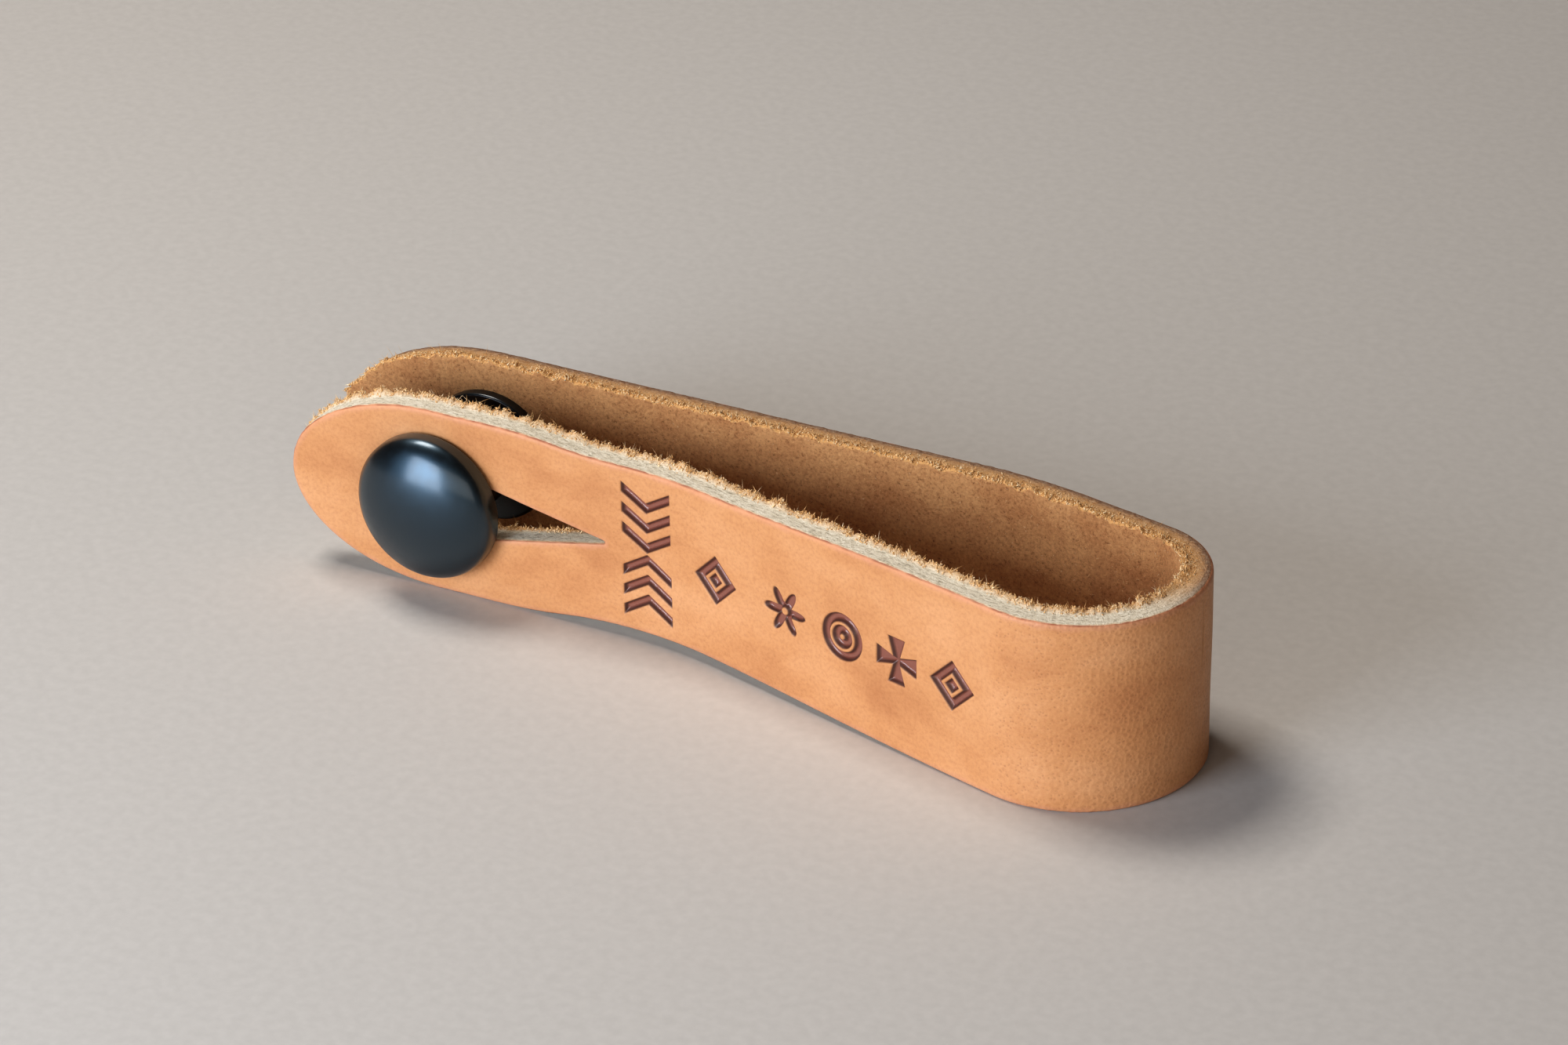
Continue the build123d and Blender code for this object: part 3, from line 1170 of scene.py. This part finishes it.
@dataclass
class Strap:
    """The folded strip of hide: its plan, its side outlines, its two halves and their fibres.

    Attributes:
        hide: the leather's thickness.
        front_radius: the fold's radius on the front side.
        fold_flat: the straight between the fold's front and rear arcs.
        shoulder_length: how far along the rear leaf its slant to the fold runs.
        shoulder_drop: how far that slant comes forward.
        shoulder_radius: the arc's radius where it starts.
        bend_from_fold: where the front leaf bends outwards, from the fold.
        bend_radius: the radius there.
        stud_from_fold: the stud's place.
        waist_width: the front leaf's least width.
        waist_from_fold: where that is.
        taper_from_fold: where the front leaf starts to narrow.
        flare_length: how far it takes to widen into the tab.
        slit_from_fold: the slit's tip.
        slit_tip: the tip's radius.
        keyhole_radius: the radius of the hole for the stud's neck.
        screw_hole: the radius of the hole for its screw.
        stamps: each stamp's distance from the fold, and its pattern.
        stamp_size: half a stamp's width.
        band_from_fold: the chevron band's place.
        band_pitch: the spacing of its chevrons.
        band_part: how far its two halves stand apart from their middle.
        chevrons: how many there are, half of them upside down.
        chevron_size: half a chevron's width.
        brown_before: where the brown edge starts, before the fold's middle.
        brown_after: where it is full, past the fold's middle.
        front_unbend: the way from the front arc's centre to where the front leaf would stop unbending.
        rear_unbend: the same from the rear arc's centre.
        fringe_per_mm: loose fibres for each millimetre of raw edge.
        nap_per_mm2: short fibres for each square millimetre of flesh side.
    """

    hide: float = HIDE
    front_radius: float = 12.5
    fold_flat: float = 0.4
    shoulder_length: float = 22.3
    shoulder_drop: float = 4.8
    shoulder_radius: float = 60.0
    bend_from_fold: float = 56.0
    bend_radius: float = 45.0
    stud_from_fold: float = 82.0
    waist_width: float = 18.0
    waist_from_fold: float = 60.0
    taper_from_fold: float = 14.0
    flare_length: float = 16.0
    slit_from_fold: float = 62.7
    slit_tip: float = 0.15
    keyhole_radius: float = 4.05
    screw_hole: float = 2.06
    stamps: tuple[tuple[float, Motif], ...] = (
        (49.4, Motif.DIAMOND),
        (40.7, Motif.ROSETTE),
        (33.6, Motif.RING),
        (27.0, Motif.CROSS),
        (20.4, Motif.DIAMOND),
    )
    stamp_size: float = 2.55
    band_from_fold: float = 57.8
    band_pitch: float = 2.2
    band_part: float = 0.45
    chevrons: int = 6
    chevron_size: float = 3.0
    brown_before: float = 9.0
    brown_after: float = 3.0
    front_unbend: tuple[float, float] = (-0.25, -0.97)
    rear_unbend: tuple[float, float] = (0.21, 0.98)
    fringe_per_mm: float = 30.0
    nap_per_mm2: float = 1.5

    def __post_init__(self) -> None:
        """Read the strap's places from the frame."""
        low, high = ({n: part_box(n)[i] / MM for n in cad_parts} for i in (0, 1))
        self.fold_x = high["fold_band"].x
        self.front_end = low["keyhole_tab"].x
        self.rear_end = low["rear_leaf"].x
        self.rear_y = high["rear_leaf"].y
        self.front_y = low["keyhole_tab"].y
        self.bulge_y = low["front_leaf"].y
        self.half = (high["fold_band"].z - low["fold_band"].z) / 2
        self.middle = low["fold_band"].z + self.half
        self.stud_x = self.fold_x - self.stud_from_fold
        self.line = self.plan_line()
        self.runs = self.line.runs()
        fold_flat = self.runs[4]
        self.fold_middle = fold_flat.start + fold_flat.length / 2
        self.total = self.runs[-1].start + self.runs[-1].length

    def plan_line(self) -> StrapLine:
        """Work out the outer face's corners and arcs."""
        depth = self.rear_y - self.bulge_y
        centre = np.array([self.fold_x - self.front_radius, self.bulge_y + self.front_radius])
        bend = np.array([self.fold_x - self.bend_from_fold, self.front_y])
        reach = centre - bend
        slope = math.asin(self.front_radius / np.hypot(*reach)) - math.atan2(reach[1], reach[0])
        turn = math.pi / 2 - math.atan2(self.shoulder_drop, self.shoulder_length)
        tangent = depth - self.front_radius - self.shoulder_drop - self.fold_flat
        corners = (
            (self.front_end, self.front_y),
            tuple(bend),
            (self.fold_x, self.front_y - math.tan(slope) * self.bend_from_fold),
            (self.fold_x, self.rear_y - self.shoulder_drop),
            (self.fold_x - self.shoulder_length, self.rear_y),
            (self.rear_end, self.rear_y),
        )
        radii = (self.bend_radius, self.front_radius, tangent / math.tan(turn / 2), self.shoulder_radius)
        return StrapLine(corners, radii)

    def front_half_width(self, x: np.ndarray) -> np.ndarray:
        """Half the front leaf's width: it tapers to the waist and flares into the tab."""
        share = np.linspace(0, 1, 80)
        run, rise = 1.5 * share - 1.5 * share**2 + share**3, share**2 * (3 - 2 * share)
        taper = self.fold_x - self.taper_from_fold
        waist = self.fold_x - self.waist_from_fold
        flare = waist - self.flare_length
        lost = self.half - self.waist_width / 2
        xs = np.concatenate([taper + (waist - taper) * run, waist + (flare - waist) * run])
        widths = np.concatenate([self.half - lost * rise, self.half - lost * (1 - rise)])
        order = np.argsort(xs)
        return np.interp(x, xs[order], widths[order])

    def rim(self, front: bool, pitch: float = 0.3) -> np.ndarray:
        """The free edge of one half of the strap on the flattened hide.

        Args:
            front: the buttoning half, or else the rear half.
            pitch: the spacing of its points.

        Returns:
            The line from the seam's top, round the end, to the seam's bottom.
        """
        if front:
            end, stud = 0.0, self.stud_x - self.front_end
            along = np.arange(self.fold_middle, stud, -pitch)
        else:
            end, stud = self.total, self.total - (self.stud_x - self.rear_end)
            along = np.arange(self.fold_middle, stud, pitch)
        x = self.line.at(along, np.zeros(len(along)))[0]
        width = self.front_half_width(x) if front else np.full(len(along), self.half)
        upper = np.stack([along, width], 1)
        lower = upper[::-1] * (1, -1)
        angle = np.linspace(math.pi / 2, -math.pi / 2, 90)
        end_curve = np.stack([stud + (end - stud) * np.cos(angle), self.half * np.sin(angle)], 1)
        whole = np.concatenate([upper, end_curve, lower])
        return whole if front else whole[::-1]

    def arc(self, along: float, radius: float, angles: np.ndarray) -> np.ndarray:
        """Points round a place on the strap's middle line."""
        return np.stack([along + radius * np.cos(angles), radius * np.sin(angles)], 1)

    def keyhole(self) -> np.ndarray:
        """The neck's hole with the slit that tapers from it, as a closed loop."""
        hole = self.stud_x - self.front_end
        tip = self.fold_x - self.slit_from_fold - self.slit_tip - self.front_end
        lean = math.acos((self.keyhole_radius - self.slit_tip) / (tip - hole))
        round_hole = np.linspace(lean, 2 * math.pi - lean, 84)
        round_tip = np.linspace(-lean, lean, 9)
        hole_arc = self.arc(hole, self.keyhole_radius, round_hole)
        tip_arc = self.arc(tip, self.slit_tip, round_tip)
        share = np.linspace(0, 1, 56)[1:-1, None]
        lower = hole_arc[-1] + (tip_arc[0] - hole_arc[-1]) * share
        upper = tip_arc[-1] + (hole_arc[0] - tip_arc[-1]) * share
        return np.concatenate([hole_arc, lower, tip_arc, upper])[::-1]

    def marks(self) -> list[StampMark]:
        """The stamps: five along the leaf and a chevron band across it, by the slit's tip."""
        front_leaf = slice(0, 3)
        made = []
        for from_fold, motif in self.stamps:
            along = self.line.along_of(self.fold_x - from_fold, front_leaf)
            made.append(StampMark(motif, along, 0.0, self.stamp_size))
        band = self.line.along_of(self.fold_x - self.band_from_fold, front_leaf)
        for i in range(self.chevrons):
            turn, away = (180.0, -self.band_part) if i < self.chevrons / 2 else (0.0, self.band_part)
            high = (i - (self.chevrons - 1) / 2) * self.band_pitch + away
            made.append(StampMark(Motif.CHEVRON, band, high, self.chevron_size, turn))
        return made

    def build(self) -> None:
        """Make both halves and their fibres, dress them and hide the frame's parts that they stand in for.
        """
        leather = [VegTanGrain().make(), RawCutEdge().make(), FleshNap().make()]
        fibre = LooseFibre().make()
        turns = np.linspace(0, 2 * math.pi, 48, endpoint=False)[::-1]
        screw_hole = self.arc(self.total - (self.stud_x - self.rear_end), self.screw_hole, turns)
        browned_span = (self.fold_middle - self.brown_before, self.fold_middle + self.brown_after)
        halves = (
            ("strap_front", True, [self.keyhole()], self.marks(), ("front_leaf", "keyhole_tab")),
            ("strap_rear", False, [screw_hole], [], ("rear_leaf", "fold_band")),
        )
        for name, front, holes, marks, nodes in halves:
            seeds = (3, 11) if front else (8, 23)
            piece = HidePiece(
                name, self.line, self.rim(front), holes, self.hide, self.middle, marks, browned_span, seed=seeds[0]
            )
            leaf = piece.build()
            for material in leather:
                leaf.data.materials.append(material)
            fuzz = self.grow(name.replace("strap", "fibres"), piece, front, seeds[1])
            fuzz.data.materials.append(fibre)
            for part in (leaf, fuzz):
                self.bend_over_fold(part, front)
            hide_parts(*nodes)
            for part in (leaf, fuzz):
                log.info("%s: %d faces", part.name, len(part.data.polygons))

    def bend_over_fold(self, piece: bpy.types.Object, front: bool) -> None:
        """Bake a piece's placement into its mesh. It works out where the piece would unbend round the fold,
        but nothing uses that.

        Args:
            piece: a leaf or its fibres.
            front: the buttoning half, or else the rear half.
        """
        inner = self.fold_x - self.hide
        seam_y = self.line.at(np.array([self.fold_middle]), np.zeros(1))[1][0]
        if front:
            centre_x, centre_y = self.fold_x - self.front_radius, self.bulge_y + self.front_radius
            start = Vector((inner, seam_y))
            way = Vector((-1, -1)).normalized()
            last = Vector((centre_x, centre_y)) + Vector(self.front_unbend) * self.front_radius
            end = start + way * (last - start).dot(way)
        else:
            way = Vector((1, -1)).normalized()
            end = Vector((inner, seam_y))
            radius = self.line.radii[2]
            first = Vector((self.fold_x - radius, seam_y)) + Vector(self.rear_unbend) * radius
            start = end - way * (end - first).dot(way)
        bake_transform(piece)

    def grow(self, name: str, piece: HidePiece, front: bool, seed: int) -> bpy.types.Object:
        """Grow the fringe along the raw edges and the nap on the flesh face.

        Args:
            name: the new piece's name.
            piece: the leaf that they stand on.
            front: whether that is the buttoning half.
            seed: seeds their places.

        Returns:
            The fibres as one object.
        """
        rng = np.random.default_rng(seed)
        density, start = (1.0, 0.56) if front else (1.5, 0.3)
        per_mm = self.fringe_per_mm * density
        sets = [self.fringe(piece.rim, per_mm, start, piece.seed, OUTSIDE_EDGE.ridge, rng)]
        if front:
            lips, per_mm, start = self.slit_lips(piece.holes[0]), self.fringe_per_mm * 0.9, 0.6
            sets.append(self.fringe(lips, per_mm, start, piece.seed, HOLE_EDGE.ridge, rng))
        sets.append(self.nap(piece, rng))
        joined = [np.concatenate(values) for values in zip(*sets)]
        return Fibres(name, self.line, self.middle).build(*joined, rng)

    def slit_lips(self, keyhole: np.ndarray, clear_of_neck: float = 1.0) -> np.ndarray:
        """The slit's two sides as one open line round its tip.

        Args:
            keyhole: the closed loop of the hole and the slit.
            clear_of_neck: how far past the hole the line stays.

        Returns:
            The line, one point a row.
        """
        past_neck = self.stud_x - self.front_end + self.keyhole_radius + clear_of_neck
        clear = keyhole[keyhole[:, 0] > past_neck]
        first = int(np.argmax(np.hypot(*np.diff(clear, axis=0).T) > clear_of_neck)) + 1
        return np.roll(clear, -first, 0) if first > 1 else clear

    def fringe(self, curve: np.ndarray, per_mm: float, top_share: float, seed: int, ridge: float,
               rng: np.random.Generator, form: FringeForm = FringeForm()) -> tuple[np.ndarray, ...]:
        """Fibres along one raw edge, thickest at the flesh side's corner.

        Args:
            curve: the edge on the flattened hide, with the leather on its left.
            per_mm: fibres for each millimetre of edge.
            top_share: how deep the fringe starts, as a share of the hide's thickness.
            seed: the piece's own seed, which places its tufts.
            ridge: how far the edge's flesh side stands up.
            rng: the random source.
            form: the fibres' sizes.

        Returns:
            Roots, ways, lengths, widths and curls.
        """
        run = np.concatenate([[0], np.cumsum(np.linalg.norm(np.diff(curve, axis=0), axis=1))])
        at = np.sort(rng.uniform(0, run[-1], int(run[-1] * per_mm)))
        before, spots, after = (
            np.stack([np.interp(at + step, run, curve[:, i]) for i in (0, 1)], 1)
            for step in (-0.2, 0.0, 0.2)
        )
        tangent = after - before
        tangent /= np.linalg.norm(tangent, axis=1)[:, None] + 1e-9
        outward = np.stack([tangent[:, 1], -tangent[:, 0]], 1)
        resting = outward[:, 1] < -0.5
        keep = ~resting | (rng.uniform(0, 1, len(at)) < form.resting_share)
        at, spots, tangent, outward, resting = (v[keep] for v in (at, spots, tangent, outward, resting))
        n = len(at)
        along = np.column_stack([at, np.zeros(n)])
        clump = 0.9 * noise_at(along, (0.8, 0.0), (0.0, 0.0)) + noise_at(along, (2.6, 0.0), (5.0, 0.0))
        clump = np.clip(0.55 + 1.3 * clump, 0.05, 1.7)
        share = top_share + (1.02 - top_share) * rng.beta(2.6, 1.1, n)
        deep = self.hide * share
        inset = rng.uniform(-0.02, 0.2, n) * smooth(share, 0.75, 1.0)
        inset -= ridge_height(spots, outward, share, seed) * ridge
        roots = np.column_stack([spots - outward * inset[:, None], deep])
        inwards = rng.normal(0.25, 0.4, n) * smooth(share, 0.5, 1.0) + rng.normal(0, 0.3, n)
        spread = rng.normal(0, 0.8, n)
        ways = np.column_stack([outward + tangent * spread[:, None], inwards])
        tufts = rng.uniform(0, 1, n) < form.tuft_share
        lengths = np.where(tufts, rng.uniform(*form.tuft_length, n), rng.gamma(2.4, 0.17, n))
        lengths = np.clip(lengths * (0.3 + 0.95 * clump), form.shortest, form.longest)
        lengths = lengths * (0.45 + 0.55 * smooth(share, 0.3, 0.9))
        widths = np.where(tufts, rng.uniform(*form.tuft_width, n), rng.uniform(*form.hair_width, n))
        curl = rng.normal(0, 0.9, n)
        strays = rng.uniform(0, 1, n) < form.stray_per_mm / per_mm
        lengths = np.where(strays, rng.uniform(*form.stray_length, n), lengths)
        widths = np.where(strays, rng.uniform(*form.stray_width, n), widths)
        curl = np.where(strays, rng.normal(0, 1.6, n), curl)
        ways[resting, 1] = np.abs(ways[resting, 1]) * 0.05
        lengths[resting] = np.minimum(lengths[resting], form.resting_length)
        roots[resting, 1] += form.resting_lift
        return roots, ways, lengths, widths, curl

    def nap(self, piece: HidePiece, rng: np.random.Generator) -> tuple[np.ndarray, ...]:
        """Short fibres over the flesh face.

        Args:
            piece: the leaf that they stand on.
            rng: the random source.

        Returns:
            Roots, ways, lengths, widths and curls.
        """
        low, high = piece.rim.min(0), piece.rim.max(0)
        n = int((high - low).prod() * self.nap_per_mm2)
        spots = rng.uniform(low, high, (n, 2))
        keep = inside(spots, piece.rim)
        for hole in piece.holes:
            keep &= ~inside(spots, hole)
        spots = spots[keep]
        n = len(spots)
        roots = np.column_stack([spots, np.full(n, self.hide - 0.02)])
        ways = np.column_stack([rng.normal(0, 0.9, n), rng.normal(0.35, 0.8, n), rng.uniform(0.25, 0.9, n)])
        return roots, ways, rng.uniform(0.12, 0.42, n), rng.uniform(0.035, 0.07, n), rng.normal(0, 0.8, n)


# ---------------------------------------------------------------- the stud


@dataclass
class Turned:
    """A turned or pressed round piece, from its half section.

    Attributes:
        name: the piece's name.
        section: radius and place along the axis of each corner.
        rounding: the radius at each corner.
        around: faces round the axis.
        steps: points round each rounded corner.
    """

    name: str
    section: list[tuple[float, float]]
    rounding: list[float]
    around: int = 144
    steps: int = 7

    def profile(self) -> np.ndarray:
        """The section with its corners rounded."""
        points = [np.array(p, float) for p in self.section]
        made = [points[0]]
        for i in range(1, len(points) - 1):
            radius, here = self.rounding[i], points[i]
            if radius <= 0:
                made.append(here)
                continue
            a, b = points[i - 1] - here, points[i + 1] - here
            reach_a, reach_b = np.linalg.norm(a), np.linalg.norm(b)
            cut = min(radius, reach_a * 0.49, reach_b * 0.49)
            start, end = here + a / reach_a * cut, here + b / reach_b * cut
            for t in np.linspace(0, 1, self.steps):
                made.append((1 - t) ** 2 * start + 2 * t * (1 - t) * here + t * t * end)
        made.append(points[-1])
        return np.array(made)

    def build(self, x: float, y: float, z: float) -> bpy.types.Object:
        """Spin the section about an axis along +Y.

        Args:
            x: the axis's place.
            y: where the section's zero lies.
            z: the axis's height.

        Returns:
            The new object.
        """
        angles = [2 * math.pi * i / self.around for i in range(self.around)]
        verts, faces, rings = [], [], []
        for radius, place in self.profile():
            on_axis = radius == 0
            ring = [(x + radius * math.cos(a), y + place, z + radius * math.sin(a)) for a in angles]
            rings.append(list(range(len(verts), len(verts) + (1 if on_axis else self.around))))
            verts += ring[:1] if on_axis else ring
        for upper, lower in zip(rings, rings[1:]):
            for i in range(self.around):
                j = (i + 1) % self.around
                a, b = upper[i % len(upper)], upper[j % len(upper)]
                c, d = lower[i % len(lower)], lower[j % len(lower)]
                corners = list(dict.fromkeys((a, b, d, c)))
                if len(corners) > 2:
                    faces.append(corners)
        made = new_object(self.name, np.array(verts), faces)
        work = bmesh.new()
        work.from_mesh(made.data)
        bmesh.ops.recalc_face_normals(work, faces=work.faces)
        work.to_mesh(made.data)
        work.free()
        return made


@dataclass
class Stud:
    """The button stud: a pressed cap on a turned post, held by a slotted screw from behind.

    Attributes:
        hide: the leather's thickness under its flange.
        cap_sheet: the pressed sheet's thickness.
        cap_rim: the height of the cap's straight side.
        cap_roll: how far that side is rolled in at the back.
        lip_radius: the inner radius of the lip that holds the post's plate.
        lip_round: the lip's rounding.
        neck_radius: the neck's radius.
        flange: the flange's thickness.
        flange_radius: the flange's radius.
        screw_play: the gap round the screw in the post's bore.
        plate_play: the gap round the post's plate in the cap.
        screw_radius: the screw's radius.
        screw_length: its length under the head.
        bore_depth: how deep the post is bored for it.
        slot_width: the width of the driver's slot.
        slot_depth: its depth.
        slot_ease: how far its edges are eased.
    """

    hide: float = HIDE
    cap_sheet: float = 0.4
    cap_rim: float = 1.2
    cap_roll: float = 0.4
    lip_radius: float = 6.3
    lip_round: float = 0.12
    neck_radius: float = 3.9
    flange: float = 1.2
    flange_radius: float = 7.0
    screw_play: float = 0.05
    plate_play: float = 0.02
    screw_radius: float = 2.0
    screw_length: float = 10.0
    bore_depth: float = 11.0
    slot_width: float = 1.2
    slot_depth: float = 0.8
    slot_ease: float = 0.05

    def __post_init__(self) -> None:
        """Read the stud's place and size from the frame."""
        low, high = (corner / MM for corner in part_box("dome_cap"))
        self.x, self.z = (low.x + high.x) / 2, (low.z + high.z) / 2
        self.cap_radius = (high.x - low.x) / 2
        self.rear_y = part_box("rear_leaf")[1].y / MM
        self.apex, self.cap_back = low.y - self.rear_y, high.y - self.rear_y
        head = [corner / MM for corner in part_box("back_screw")]
        self.head_radius = (head[1].x - head[0].x) / 2
        self.head_height = head[1].y - self.rear_y

    def dome(self, radius: float, rim: float, top: float, steps: int = 30) -> list[tuple[float, float]]:
        """Points up the dome's half section, a quarter ellipse from its rim to its top."""
        angles = np.linspace(math.pi / 2, 0, steps)
        return [(radius * math.sin(a), rim - (rim - top) * math.cos(a)) for a in angles[:-1]] + [(0, top)]

    def build(self) -> None:
        """Make, dress and mount the stud's pieces."""
        cap, post, screw = (
            turned.build(self.x, self.rear_y, self.z) for turned in (self.cap(), self.post(), self.screw())
        )
        self.cut_slot(screw)
        for piece, finish, slot, node in (
            (cap, BlackEnamel(), "black_cap", "dome_cap"),
            (post, BlackOxide(), "black_post", "stud_post"),
            (screw, BlackenedScrew(), "black_screw", "back_screw"),
        ):
            piece.data.materials.append(finish.make())
            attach(piece, "stud")
            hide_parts(node)
            log.info("%s: %d faces", piece.name, len(piece.data.polygons))

    def cap(self) -> Turned:
        """The pressed cap: a dome of thin sheet with its rim rolled round the post's plate."""
        rim, back = self.cap_back - self.cap_rim, self.cap_back
        plate, inner_radius = back - self.cap_sheet, self.cap_radius - self.cap_sheet
        outer = self.dome(self.cap_radius, rim, self.apex)[::-1]
        inner = self.dome(inner_radius, rim, self.apex + self.cap_sheet)
        lip = [(self.cap_radius, back), (self.lip_radius, back)]
        lip += [(self.lip_radius, plate), (inner_radius, plate)]
        section = outer + lip + inner
        rounding = [0.0] * len(section)
        rounding[len(outer)] = self.cap_roll
        rounding[len(outer) + 1] = self.lip_round
        return Turned("stud_cap", section, rounding)

    def post(self) -> Turned:
        """The turned post: a plate inside the cap, the neck, and the flange on the leather."""
        rim, plate = self.cap_back - self.cap_rim, self.cap_back - self.cap_sheet
        bore = self.screw_radius + self.screw_play
        plate_radius = self.cap_radius - self.cap_sheet - self.plate_play
        flange = -self.hide - self.flange
        corners = (
            (0, -self.bore_depth, 0), (bore, -self.bore_depth, 0), (bore, -self.hide, 0),
            (self.flange_radius, -self.hide, 0.15), (self.flange_radius, flange, 0.35),
            (self.neck_radius, flange, 0.3), (self.neck_radius, plate, 0.3),
            (plate_radius, plate, 0), (plate_radius, rim, 0), (0, rim, 0),
        )
        return Turned("stud_neck", [c[:2] for c in corners], [c[2] for c in corners])

    def screw(self) -> Turned:
        """The screw: a low crowned head behind the leather and a plain shank in the post."""
        radius, height = self.head_radius, self.head_height
        corners = (
            (0, height, 0), (radius * 0.6, height - 0.06, 1.2), (radius, height - 0.55, 0.35),
            (radius, 0, 0.1), (self.screw_radius, 0, 0),
            (self.screw_radius, -self.screw_length, 0.3), (0, -self.screw_length, 0),
        )
        return Turned("screw_head", [c[:2] for c in corners], [c[2] for c in corners])

    def cut_slot(self, screw: bpy.types.Object) -> None:
        """Cut the driver's slot across the screw's head and ease its edges."""
        work = bmesh.new()
        bmesh.ops.create_cube(work, size=1.0)
        size = (self.slot_width, self.slot_depth * 2, self.head_radius * 3)
        place = Matrix.Translation(Vector((self.x, self.rear_y + self.head_height, self.z)) * MM)
        work.transform(place @ Matrix.Diagonal((*(s * MM for s in size), 1)))
        mesh = bpy.data.meshes.new("slot_cutter")
        work.to_mesh(mesh)
        work.free()
        cutter = bpy.data.objects.new("slot_cutter", mesh)
        bpy.context.scene.collection.objects.link(cutter)
        cut = screw.modifiers.new("slot", "BOOLEAN")
        cut.operation, cut.solver, cut.object = "DIFFERENCE", "EXACT", cutter
        ease = screw.modifiers.new("ease", "BEVEL")
        ease.width, ease.segments, ease.limit_method = self.slot_ease * MM, 2, "ANGLE"
        ease.angle_limit = math.radians(50)
        bpy.context.view_layer.update()
        shaped = screw.evaluated_get(bpy.context.evaluated_depsgraph_get())
        screw.data = bpy.data.meshes.new_from_object(shaped)
        screw.modifiers.clear()
        screw.data.name = screw.name
        bpy.data.objects.remove(cutter)


# ---------------------------------------------------------------- the studio


@dataclass(frozen=True)
class SoftLight:
    """One soft rectangular light, turned to the keeper.

    Attributes:
        name: its name.
        way: the direction from the keeper to it.
        distance: how far off it hangs.
        size: its width and height.
        watts: its power.
        colour: its colour, in hex.
    """

    name: str
    way: tuple[float, float, float]
    distance: float
    size: tuple[float, float]
    watts: float
    colour: str

    def hang(self) -> None:
        """Add it to the scene."""
        data = bpy.data.lights.new(self.name, "AREA")
        data.shape, data.size, data.size_y = "RECTANGLE", self.size[0] * MM, self.size[1] * MM
        data.energy, data.color = self.watts, linear(self.colour)[:3]
        light = bpy.data.objects.new(self.name, data)
        bpy.context.scene.collection.objects.link(light)
        toward = Vector(self.way).normalized()
        light.location = toward * self.distance * MM
        light.rotation_mode = "QUATERNION"
        light.rotation_quaternion = (-toward).to_track_quat("-Z", "Y")


@dataclass
class Studio:
    """Pale paper, soft light and the camera.

    Attributes:
        aim: the point that the camera looks at, in millimetres.
        distance: from there to the camera.
        azimuth: the camera's place round the keeper, in degrees.
        elevation: its height above the horizon, in degrees.
        roll: its turn about its own axis, in degrees.
        lens: focal length on a 36 mm wide sensor.
        air: the colour of the light from all round.
        air_strength: how strong that is.
        gamma: how dark the render's middle tones are.
        floor_size: half the paper's width, in metres.
        lights: a cool low window, its warm glow beside it, and a small skylight.
    """

    aim: tuple[float, float, float] = (-7.7, 24.9, 0.0)
    distance: float = 520.0
    azimuth: float = 28.36
    elevation: float = 29.0
    roll: float = -1.0
    lens: float = 117.0
    air: str = "#D69A60"
    air_strength: float = 0.05
    gamma: float = 0.88
    floor_size: float = 2.5
    lights: tuple[SoftLight, ...] = (
        SoftLight("window", (-0.35, -0.9, 0.27), 460, (240, 290), 2.25, "#E6F1FF"),
        SoftLight("window_glow", (0.3, -0.84, 0.33), 560, (620, 300), 0.95, "#FFF6EC"),
        SoftLight("skylight", (-0.4, 0.1, 0.87), 560, (200, 200), 2.2, "#FFF8F0"),
    )

    def build(self) -> None:
        """Set up the camera, the floor and the lights."""
        self.add_camera()
        self.add_floor()
        for light in self.lights:
            light.hang()
        world = bpy.data.worlds.new("studio_air")
        bpy.context.scene.world = world
        world.use_nodes = True
        background = world.node_tree.nodes["Background"]
        background.inputs["Color"].default_value = linear(self.air)
        background.inputs["Strength"].default_value = self.air_strength
        bpy.context.scene.view_settings.view_transform = "Standard"
        bpy.context.scene.view_settings.gamma = self.gamma

    def away(self) -> Vector:
        """The direction from the keeper to the camera."""
        a, e = math.radians(self.azimuth), math.radians(self.elevation)
        return Vector((math.sin(a) * math.cos(e), -math.cos(a) * math.cos(e), math.sin(e)))

    def add_camera(self) -> None:
        """Place the camera."""
        data = bpy.data.cameras.new("camera")
        data.lens, data.sensor_width, data.sensor_fit = self.lens, 36.0, "HORIZONTAL"
        data.clip_start, data.clip_end = 0.02, 20.0
        camera = bpy.data.objects.new("camera", data)
        bpy.context.scene.collection.objects.link(camera)
        camera.location = (Vector(self.aim) + self.away() * self.distance) * MM
        camera.rotation_mode = "QUATERNION"
        level = (-self.away()).to_track_quat("-Z", "Y")
        roll = Matrix.Rotation(math.radians(self.roll), 3, "Z").to_quaternion()
        camera.rotation_quaternion = level @ roll
        bpy.context.scene.camera = camera

    def add_floor(self) -> None:
        """Lay the paper that the keeper stands on."""
        work = bmesh.new()
        bmesh.ops.create_grid(work, x_segments=8, y_segments=8, size=self.floor_size)
        mesh = bpy.data.meshes.new("floor")
        work.to_mesh(mesh)
        work.free()
        floor = bpy.data.objects.new("floor", mesh)
        bpy.context.scene.collection.objects.link(floor)
        mesh.materials.append(StudioPaper().make())


def main() -> None:
    """Build the keeper in order."""
    logging.basicConfig(level=logging.INFO, format="%(name)s: %(message)s")
    Studio().build()
    Strap().build()
    Stud().build()


if __name__ == "__main__":
    main()
